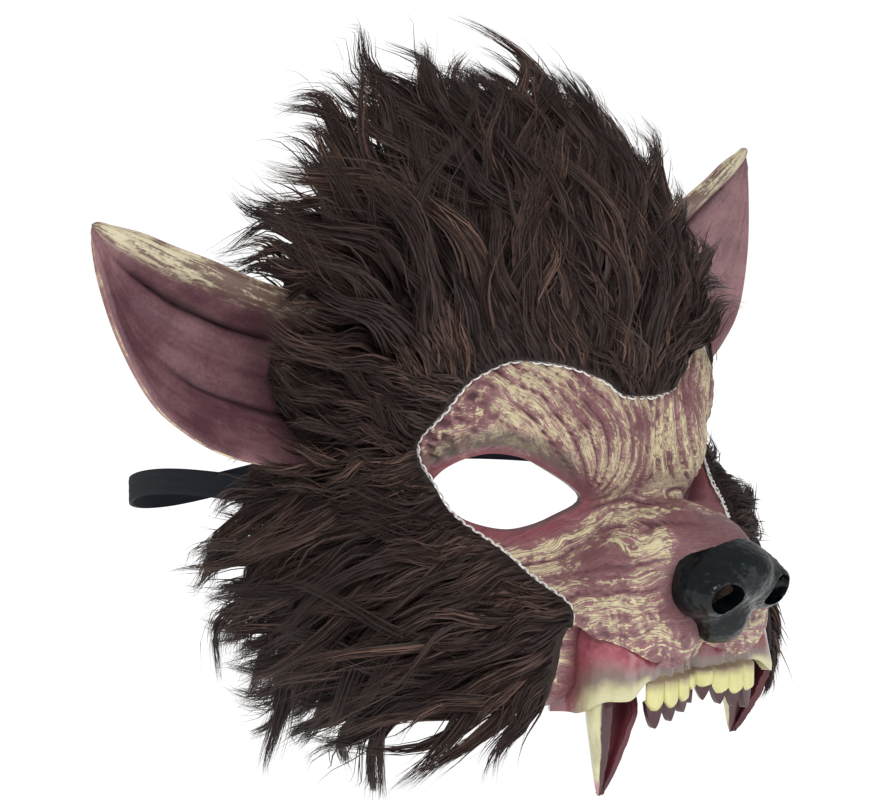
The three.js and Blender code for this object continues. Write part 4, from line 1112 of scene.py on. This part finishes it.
def seeds_on_head(count, rng, low_z, high_z, side=0):
    """Roots spread evenly over the backing, as angles, on one side or both."""
    from_front = np.empty(0)
    around = np.empty(0)
    while len(from_front) < count:
        rays = unit(rng.normal(size=(4 * count, 3)))
        rays[:, 0] = np.abs(rays[:, 0]) * side if side else rays[:, 0]
        front, turn = angles_of(rays)
        rough_z = FACE_CENTRE[2] + HEAD_REACH * rays[:, 2]
        fits = (front < SHELL_RIM + 0.05) & (front > FUR_FRONT)
        fits &= (rough_z > low_z - SEED_MARGIN) & (rough_z < high_z + SEED_MARGIN)
        front, turn = front[fits], turn[fits]
        points = face_at(front, turn, BACKING_TOP)
        size = np.linalg.norm(points - FACE_CENTRE, axis=1)
        thinned = 1 - 0.5 * step_up((front - fur_starts(turn)) * size, EDGE_BAND, 2 * EDGE_BAND)
        fits = rng.random(len(front)) < thinned * (size / SEED_SIZE) ** 2
        fits &= ~inside_outline(fur_outline, points[:, 0], points[:, 2])
        fits &= inside_outline(side_outline, points[:, 1], points[:, 2])
        fits &= (points[:, 2] > low_z) & (points[:, 2] < high_z)
        raised = np.where(points[:, 0] > 0, LEFT_EAR_RAISE, 0)
        in_ear = np.abs(points[:, 1] - EAR_ROOT[1]) < EAR_SEAT[0]
        in_ear &= np.abs(points[:, 2] - EAR_ROOT[2] - raised) < EAR_SEAT[1]
        fits &= ~in_ear
        from_front = np.append(from_front, front[fits])
        around = np.append(around, turn[fits])
    return from_front[:count], around[:count]


def roots_at(from_front, around):
    """Where strands leave the backing, and how deep the pile is there."""
    depth = pile_depth(from_front, around, face_at(from_front, around))
    return face_at(from_front, around, BACKING_TOP + ROOT_SHARE * depth), depth


def locks_of(from_front, around, rng, length, lift, drop):
    """For each guide: its root, the two directions it grows in, its side, length and wave."""
    root, depth = roots_at(from_front, around)
    normal = slope_of(face, root)
    flow = unit(face_at(from_front + 0.1, around) - face_at(from_front - 0.05, around))
    astray = np.cross(flow, normal) * rng.normal(0, LOCK_SPREAD, len(root))[:, None]
    flow = flow + np.array([0, 0, -1.0]) * drop[:, None] + astray
    flow = unit(flow - normal * np.sum(flow * normal, axis=1)[:, None])
    swirl = LOCK_SWIRL * (noise(root * 0.04) - 0.5)
    side = np.cross(flow, normal)
    flow = unit(flow * np.cos(swirl)[:, None] + side * np.sin(swirl)[:, None])
    ear_gap = near_ear(root)
    left = root[:, 0] > 0
    below_ear = step_up(EAR_ROOT[2] - root[:, 2], -6, 8)
    before_ear = step_up(EAR_ROOT[1] - root[:, 1], 1, 8) * (1 - step_up(ear_gap, 20, 52)) * (root[:, 0] < 0)
    above_ear = step_up(root[:, 2] - EAR_ROOT[2], 14, 34)
    trim = 0.36 + 0.3 * below_ear + (0.64 - 0.3 * below_ear) * step_up(ear_gap, 16, 58 - 16 * above_ear)
    trim = trim + (0.8 - trim) * before_ear
    strap_side = step_up(root[:, 1], 0, 30) * (1 - step_up(np.abs(root[:, 2]), 20, 45)) * left
    low_left = step_up(-root[:, 2], 40, 65) * left
    trim = trim * (1 - 0.65 * strap_side) * (1 - 0.5 * low_left)
    tuft = 0.55 + 0.9 * noise(root * 0.07 + 5.3)
    long = length * trim * rng.uniform(0.75, 1.1, len(root)) * (0.5 + 0.5 * step_up(depth, 1, 9))
    rise = lift * tuft * rng.uniform(0.75, 1.2, len(root)) * (0.35 + 0.65 * depth / CROWN_PILE)
    rise = rise * (1 - 0.3 * step_up(-root[:, 1], -48, -8) * step_up(root[:, 2], 0, 30)) + 0.9 * before_ear
    wave = rng.uniform(0.4, 1.0, len(root)) * LOCK_WAVE * long
    phase = 9.0 * noise(root * 0.05 + 1.7) + rng.uniform(0, 2.0, len(root))
    return {"root": root, "normal": normal, "flow": flow, "side": np.cross(flow, normal), "long": long,
            "rise": rise, "wave": wave, "phase": phase, "beat": rng.uniform(0.7, 1.5, len(root)),
            "flick": rng.normal(0, LOCK_FLICK, len(root)), "tone": rng.random(len(root))}


def path_of(lock, share):
    """The guide curves' points at a share of their length: bend over, wave and flick."""
    t = share[:, None]
    long = lock["long"][:, None]
    rise = lock["rise"][:, None]
    run = 0.55 * t + 0.45 * t * t - 0.3 * rise * t
    sunk = HEAD_WRAP * run * run * long / HEAD[1]
    over = lock["normal"] * (rise * (1.5 * t - 0.5 * t * t) - sunk) + lock["flow"] * run
    swing = lock["wave"] * np.sin(6.28 * lock["beat"] * share + lock["phase"]) * share ** 0.7
    lean = lock["flick"] * lock["long"] * share ** 2
    bob = 0.6 * lock["wave"] * np.cos(5.1 * lock["beat"] * share + lock["phase"]) * share
    return lock["root"] + over * long + lock["side"] * (swing + lean)[:, None] + lock["normal"] * bob[:, None]


def nearest(points, centres):
    """The index of each point's closest centre, in slices to save memory."""
    best = np.empty(len(points), int)
    for start in range(0, len(points), 2000):
        away = ((points[start:start + 2000, None] - centres[None]) ** 2).sum(-1)
        best[start:start + 2000] = away.argmin(1)
    return best


def ribbons(name, rows, count):
    """One mesh of tapering ribbons, from their corners: two for each step, and one at the tip."""
    points = np.stack(rows, 1).reshape(-1, 3)
    base = (np.arange(count) * len(rows))[:, None]
    quads = np.array([(2 * i, 2 * i + 1, 2 * i + 3, 2 * i + 2) for i in range(STRAND_STEPS - 1)])
    quad_faces = (base[:, :, None] + quads[None]).reshape(-1, 4)
    tips = base + np.array([(2 * STRAND_STEPS - 2, 2 * STRAND_STEPS - 1, 2 * STRAND_STEPS)])
    corners = np.concatenate([quad_faces.ravel(), tips.ravel()])
    starts = np.concatenate([np.arange(len(quad_faces)) * 4, len(quad_faces) * 4 + np.arange(len(tips)) * 3])
    mesh = bpy.data.meshes.new(name)
    mesh.vertices.add(len(points))
    mesh.vertices.foreach_set("co", (points * MM).ravel())
    mesh.loops.add(len(corners))
    mesh.loops.foreach_set("vertex_index", corners)
    mesh.polygons.add(len(starts))
    mesh.polygons.foreach_set("loop_start", starts)
    mesh.update(calc_edges=True)
    piece = bpy.data.objects.new(name, mesh)
    bpy.context.scene.collection.objects.link(piece)
    return piece


def grow_fur(name, strand_count, lock_count, seed, low_z, high_z, length, lift, drop_of, side=0):
    """A sheaf of strands for each lock: each strand keeps its own root and nears its guide."""
    rng = np.random.default_rng(seed)
    front, turn = seeds_on_head(lock_count, rng, low_z, high_z, side)
    locks = locks_of(front, turn, rng, length, lift, drop_of(front, turn))
    strand_front, strand_turn = seeds_on_head(strand_count, rng, low_z, high_z, side)
    strand_root, _ = roots_at(strand_front, strand_turn)
    count = len(strand_root)
    owner = nearest(strand_root, locks["root"])
    lock = {key: value[owner] for key, value in locks.items()}
    offset = strand_root - lock["root"]
    stray = rng.random(count) < STRAY_SHARE
    gather = np.where(stray, STRAY_GATHER, rng.uniform(*LOCK_GATHER, count))
    edge_gap = (strand_front - fur_starts(strand_turn)) * EDGE_REACH
    gather = gather * step_up(edge_gap, 0, 1.5 * EDGE_BAND)
    reach_share = rng.uniform(*STRAND_REACH, count)
    jitter = rng.normal(0, 1, (count, 3)) * np.where(stray, STRAY_JITTER, STRAND_JITTER)[:, None]
    roll = rng.uniform(0, math.pi, count)
    own_phase = rng.uniform(0, 6.28, count)
    own_wave = rng.uniform(0.2, 0.9, count)
    lock_side, lock_normal = lock["side"], lock["normal"]
    broad = lock_side * np.cos(roll)[:, None] + lock_normal * np.sin(roll)[:, None]
    width = STRAND_WIDTH * rng.uniform(0.7, 1.3, count)
    rows = []
    for step in range(STRAND_STEPS + 1):
        share = step / STRAND_STEPS
        at = path_of(lock, reach_share * share)
        close = gather * share ** 0.75 * (1.25 - 0.25 * share)
        at = at + offset * (1 - close)[:, None] + jitter * (share ** 1.3)
        at = at + lock_side * (own_wave * share * np.sin(9 * share + own_phase))[:, None]
        least = BACKING_TOP + 0.2 + (UNDER_SHARE * CROWN_PILE + 1) * share ** 0.8
        at = at + lock_normal * np.maximum(least - face(at), 0)[:, None]
        below = np.maximum(TRIM_LINE - at[:, 2], 0)
        at[:, 2] += below - TRIM_ROOM * (1 - np.exp(-below / TRIM_ROOM))
        half = 0.5 * width * (1 - share ** 2.2) * (0.75 + 0.5 * math.sin(math.pi * min(share + 0.15, 1)))
        if step < STRAND_STEPS:
            rows.append(at + broad * half[:, None])
            rows.append(at - broad * half[:, None])
        else:
            rows.append(at)
    piece = ribbons(name, rows, count)
    shares = np.append(np.repeat(np.arange(STRAND_STEPS) / STRAND_STEPS, 2), 1.0)
    own = np.repeat(rng.random(count), len(shares))
    store(piece, "strand", (np.tile(shares, count), own, np.repeat(lock["tone"], len(shares))))
    return piece


def join(keeper, *others):
    bpy.ops.object.select_all(action="DESELECT")
    for piece in others:
        piece.select_set(True)
    keeper.select_set(True)
    bpy.context.view_layer.objects.active = keeper
    bpy.ops.object.join()


def fur_fibre(p):
    along, own, tone = p.attribute("strand")
    streak = p.grain(p.place(), 420)
    warm = own * 0.55 + tone * 0.5 + streak * 0.25 - 0.2
    lit = warm.between(0.4, 1.1).mix((0.02, 0.009, 0.0075), (0.14, 0.078, 0.058))
    # Painted shade: the strands darken towards their roots, as the shade deep in the pile
    root_shade = ((1 - along).between(0.7, 1.0) * 0.75).mix(lit, (0.012, 0.005, 0.004))
    toned = along.between(0.85, 1.0).mix(root_shade, (0.03, 0.014, 0.012))
    return {"Base Color": toned, "Roughness": 0.5 + own * 0.2}


fur_finish = finish_of("fur_fibre", fur_fibre, Specular_IOR_Level=0.3, Sheen_Weight=0.05)


def dress_fur(piece, *nodes):
    piece.data.materials.clear()
    piece.data.materials.append(fur_finish)
    piece.data.polygons.foreach_set("use_smooth", np.ones(len(piece.data.polygons), bool))
    carry(piece, "fur", *nodes)


def crown_drop(front, turn):
    return 0.25 * (1 - step_up(np.sin(turn), 0.1, 0.6))


def cheek_drop(front, turn):
    return 0.55 + 0.5 * step_up(-np.sin(turn), 0.3, 0.8)


crown = part_of_under("crown_fur_mass", (-FAR, -FAR, FUR_SPLIT), (FAR, FAR, FAR))
crown_hair = grow_fur("crown_hair", 11500, 420, 5, FUR_SPLIT - 2, FAR, 44.0, 0.56, crown_drop)
join(crown, crown_hair)
dress_fur(crown, "crown_fur")
crown_top = grow_fur("crown_fur_locks", 13000, 210, 17, FUR_SPLIT + 6, FAR, 50.0, 0.62, crown_drop)
dress_fur(crown_top, "crown_fur")
# The hidden far cheek is trimmed shorter, with fewer strands
for name, low_x, high_x, seed, side, count, length in (
        ("cheek_fur_right", -FAR, -CLEARANCE, 29, -1, 11800, 60.0),
        ("cheek_fur_left", CLEARANCE, FAR, 31, 1, 7600, 36.0)):
    cheek = part_of_under(name + "_mass", (low_x, -FAR, -FAR), (high_x, FAR, FUR_SPLIT))
    hair = grow_fur(name + "_hair", count, 170, seed, -FAR, FUR_SPLIT + 4, length, 0.5, cheek_drop, side)
    join(cheek, hair)
    dress_fur(cheek, name)
bpy.data.objects.remove(under)

# White chain stitches hold the fur's cut edge down on the latex all round the bare face. Each
# link is a loop of thread, tilted to one side and the other in turn.
STITCH_PITCH = 1.9
STITCH_THREAD = 0.29
STITCH_LOOP = 0.72
STITCH_TILT = 0.35
STITCH_SWAY = 0.3
STITCH_HEIGHT = 0.7


def on_face_front(x, z, level):
    """The point straight in front of a place where the face's surface is first met."""
    depths = np.arange(-75, 60, 0.5)
    grid = np.stack(np.broadcast_arrays(x[:, None], depths[None], z[:, None]), -1)
    inside = face(grid.reshape(-1, 3)).reshape(len(x), -1) < level
    return triples(x, depths[np.argmax(inside, axis=1)], z)


def way_along(path):
    """How far along a path each of its points lies."""
    return np.concatenate([[0], np.cumsum(np.linalg.norm(np.diff(path, axis=0), axis=1))])


def point_at(path, gone, stops):
    return np.stack([np.interp(stops, gone, path[:, i]) for i in range(3)], -1)


bpy.ops.object.select_all(action="DESELECT")
bpy.ops.mesh.primitive_torus_add(major_segments=10, minor_segments=4, major_radius=STITCH_LOOP * MM,
                                 minor_radius=STITCH_THREAD * MM)
stitch = bpy.context.object
set_corners(stitch, corners_of(stitch) * (1.75, 1, 1))
stitches = []
for side in (-1, 1):
    fine_edge = curve_through(fur_side[:-12] * (side, 1), 900)
    edge = on_face_front(fine_edge[:, 0] * 0.985, fine_edge[:, 1], STITCH_HEIGHT)
    gone = way_along(edge)
    places = point_at(edge, gone, np.arange(0, gone[-1], STITCH_PITCH))
    steps = np.gradient(places, axis=0)
    runs = unit(steps)
    outward = slope_of(face, places)
    across_run = unit(np.cross(outward, runs))
    kept = inside_outline(side_outline, places[:, 1], places[:, 2]) & (np.linalg.norm(steps, axis=1) < 3)
    for number in np.flatnonzero(kept):
        link = stitch.copy()
        link.data = stitch.data.copy()
        bpy.context.scene.collection.objects.link(link)
        roll = STITCH_TILT * (-1) ** number
        tilted = across_run[number] * math.cos(roll) + outward[number] * math.sin(roll)
        place = places[number] + across_run[number] * STITCH_SWAY * (-1) ** number
        turn = Matrix((runs[number], tilted, np.cross(runs[number], tilted))).transposed().to_4x4()
        link.data.transform(Matrix.Translation(Vector(place) * MM) @ turn)
        stitches.append(link)
join(*stitches)
stitch_row = stitches[0]
stitch_row.name = "edge_stitches"
bpy.data.objects.remove(stitch)


def stitch_thread(p):
    twist = p.grain(p.place(), 1500, 2)
    return {"Base Color": twist.mix((0.45, 0.42, 0.4), (0.85, 0.83, 0.8)), "Roughness": 0.6 + twist * 0.2}


stitch_row.data.materials.append(finish_of("stitch_thread", stitch_thread))
smooth(stitch_row, 80)
carry(stitch_row, "fur")

# The strap is one band of flat ribbed elastic. Its ends lie inside the shell at the temples.
STRAP_WIDTH = 8.0
STRAP_THICKNESS = 1.2
STRAP_Y = 50.0
STRAP_Z = -2.0
STRAP_REACH = 143.0
STRAP_DROP = 20.0
STRAP_TAB = 8.0
FACET_ALLOWANCE = 0.8
RIB_COUNT = 7
RIB_HEIGHT = 0.16
WEAVE_FINENESS = 9.0


def wall_at(y):
    inside_wall = reach(face, (0, y, STRAP_Z), np.array([[1.0, 0, 0]]), -LATEX_WALL)[0]
    return inside_wall - CLEARANCE - FACET_ALLOWANCE - STRAP_THICKNESS / 2


wall_x = wall_at(STRAP_Y)
tab_x = wall_at(STRAP_Y - STRAP_TAB)
strap_turn = np.linspace(0, math.pi, 400)
strap_loop = triples(wall_x * np.cos(strap_turn), STRAP_Y + STRAP_REACH * np.sin(strap_turn),
                     STRAP_Z - STRAP_DROP * np.sin(strap_turn) ** 3)
strap_path = np.vstack([[(tab_x, STRAP_Y - STRAP_TAB, STRAP_Z)], strap_loop,
                        [(-tab_x, STRAP_Y - STRAP_TAB, STRAP_Z)]])
strap_gone = way_along(strap_path)


def strap_at(share):
    return point_at(strap_path, strap_gone, np.clip(share, 0, 1) * strap_gone[-1])


strap, strap_u, strap_v = sheet("head_strap_elastic", 400, 10)
strap_centre = strap_at(strap_u)
strap_run = (strap_at(strap_u + 0.004) - strap_at(strap_u - 0.004)) * (1, 1, 0)
strap_out = unit(np.cross(strap_run, (0, 0, 1)))
ribs = RIB_HEIGHT * np.abs(np.sin(math.pi * strap_v * RIB_COUNT))
set_corners(strap, strap_centre + strap_out * (0.5 * STRAP_THICKNESS + ribs - 0.1)[:, None]
            + np.array([0, 0, STRAP_WIDTH]) * (strap_v - 0.5)[:, None])
store(strap, "weave", (strap_u * strap_gone[-1], strap_v * STRAP_WIDTH, ribs))


def elastic_weave(p):
    run, up, _ = p.attribute("weave")
    knit = p.maths("SINE", run * WEAVE_FINENESS) * p.maths("SINE", up * WEAVE_FINENESS)
    cloud = p.grain(p.place(), 250)
    tone = (knit * 0.25 + cloud * 0.9).between(0.2, 0.9).mix((0.002, 0.003, 0.006), (0.011, 0.014, 0.026))
    return {"Base Color": tone, "Roughness": 0.7 + cloud * 0.2, "Normal": p.bump(knit, 0.2, 0.6)}


elastic_finish = finish_of("elastic_weave", elastic_weave, Specular_IOR_Level=0.2)
thicken(strap, STRAP_THICKNESS - 0.1, lambda points: strap_out, elastic_finish, elastic_finish)
smooth(strap, 60)
carry(strap, "elastic", "head_strap")

# A flat black rivet holds each end of the strap to the latex. Both lie inside the shell and show
# only from behind. The solids of the frame are plain enough to stand for them.


def rivet_black(p):
    cloud = p.grain(p.place(), 600)
    return {"Base Color": cloud.mix((0.01, 0.01, 0.012), (0.03, 0.03, 0.034)), "Roughness": 0.3 + cloud * 0.2}


rivet_finish = finish_of("rivet_black", rivet_black)
for node in ("strap_rivet_right", "strap_rivet_left"):
    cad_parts[node].data.materials.clear()
    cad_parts[node].data.materials.append(rivet_finish)

# The mask is shown on a plain white ground in soft even light, seen from its right and a little
# above, as the photograph shows it.
FLOOR_DROP = 0.06
bpy.ops.object.select_all(action="DESELECT")
bpy.ops.mesh.primitive_plane_add(size=6, location=(0, 0, cad_box[0].z - FLOOR_DROP))
floor = bpy.context.object
floor.name = "floor"
floor.data.materials.append(finish_of("floor_white", lambda p: {
    "Base Color": p.grain(p.place(), 3).mix((0.93, 0.93, 0.93), (0.95, 0.95, 0.95))},
    Roughness=0.9, Emission_Color=(1, 1, 1, 1), Emission_Strength=0.56))
world = bpy.context.scene.world or bpy.data.worlds.new("studio")
bpy.context.scene.world = world
world.use_nodes = True
ambient = Paint(world.node_tree)
seen = ambient.node("ShaderNodeLightPath")
background = world.node_tree.nodes["Background"].inputs
background["Color"].default_value = (1, 1, 1, 1)
world.node_tree.links.new((0.5 + seen * 0.55).socket, background["Strength"])
bpy.context.scene.view_settings.view_transform = "Standard"


def soft_light(name, place, target, size, watts):
    bpy.ops.object.select_all(action="DESELECT")
    bpy.ops.object.light_add(type="AREA", location=place)
    lamp = bpy.context.object
    lamp.name = name
    lamp.data.shape = "DISK"
    lamp.data.size = size
    lamp.data.energy = watts
    lamp.rotation_euler = (Vector(target) - Vector(place)).to_track_quat("-Z", "Y").to_euler()


soft_light("key", (-0.75, -0.75, 0.75), (0, 0, 0), 0.5, 8)
soft_light("fill", (0.2, -1.2, 0.3), (0, 0, 0), 0.8, 3)

AZIMUTH = math.radians(-45)
ELEVATION = math.radians(7)
CAMERA_DISTANCE = 1.0
PIXELS_PER_METRE = 3450
PHOTO_SIZE = (880, 800)
ORIGIN_PIXEL = (600, 490)
SENSOR = 36.0
level = math.cos(ELEVATION)
back = Vector((math.sin(AZIMUTH) * level, -math.cos(AZIMUTH) * level, math.sin(ELEVATION)))
right = Vector((math.cos(AZIMUTH), math.sin(AZIMUTH), 0))
up = back.cross(right)
aside = (ORIGIN_PIXEL[0] - PHOTO_SIZE[0] / 2) / PIXELS_PER_METRE
above = (PHOTO_SIZE[1] / 2 - ORIGIN_PIXEL[1]) / PIXELS_PER_METRE
bpy.ops.object.camera_add()
camera = bpy.context.object
camera.data.sensor_width = SENSOR
camera.data.lens = PIXELS_PER_METRE * CAMERA_DISTANCE / PHOTO_SIZE[0] * SENSOR
camera.location = back * CAMERA_DISTANCE - right * aside - up * above
camera.rotation_euler = (-back).to_track_quat("-Z", "Y").to_euler()
bpy.context.scene.camera = camera
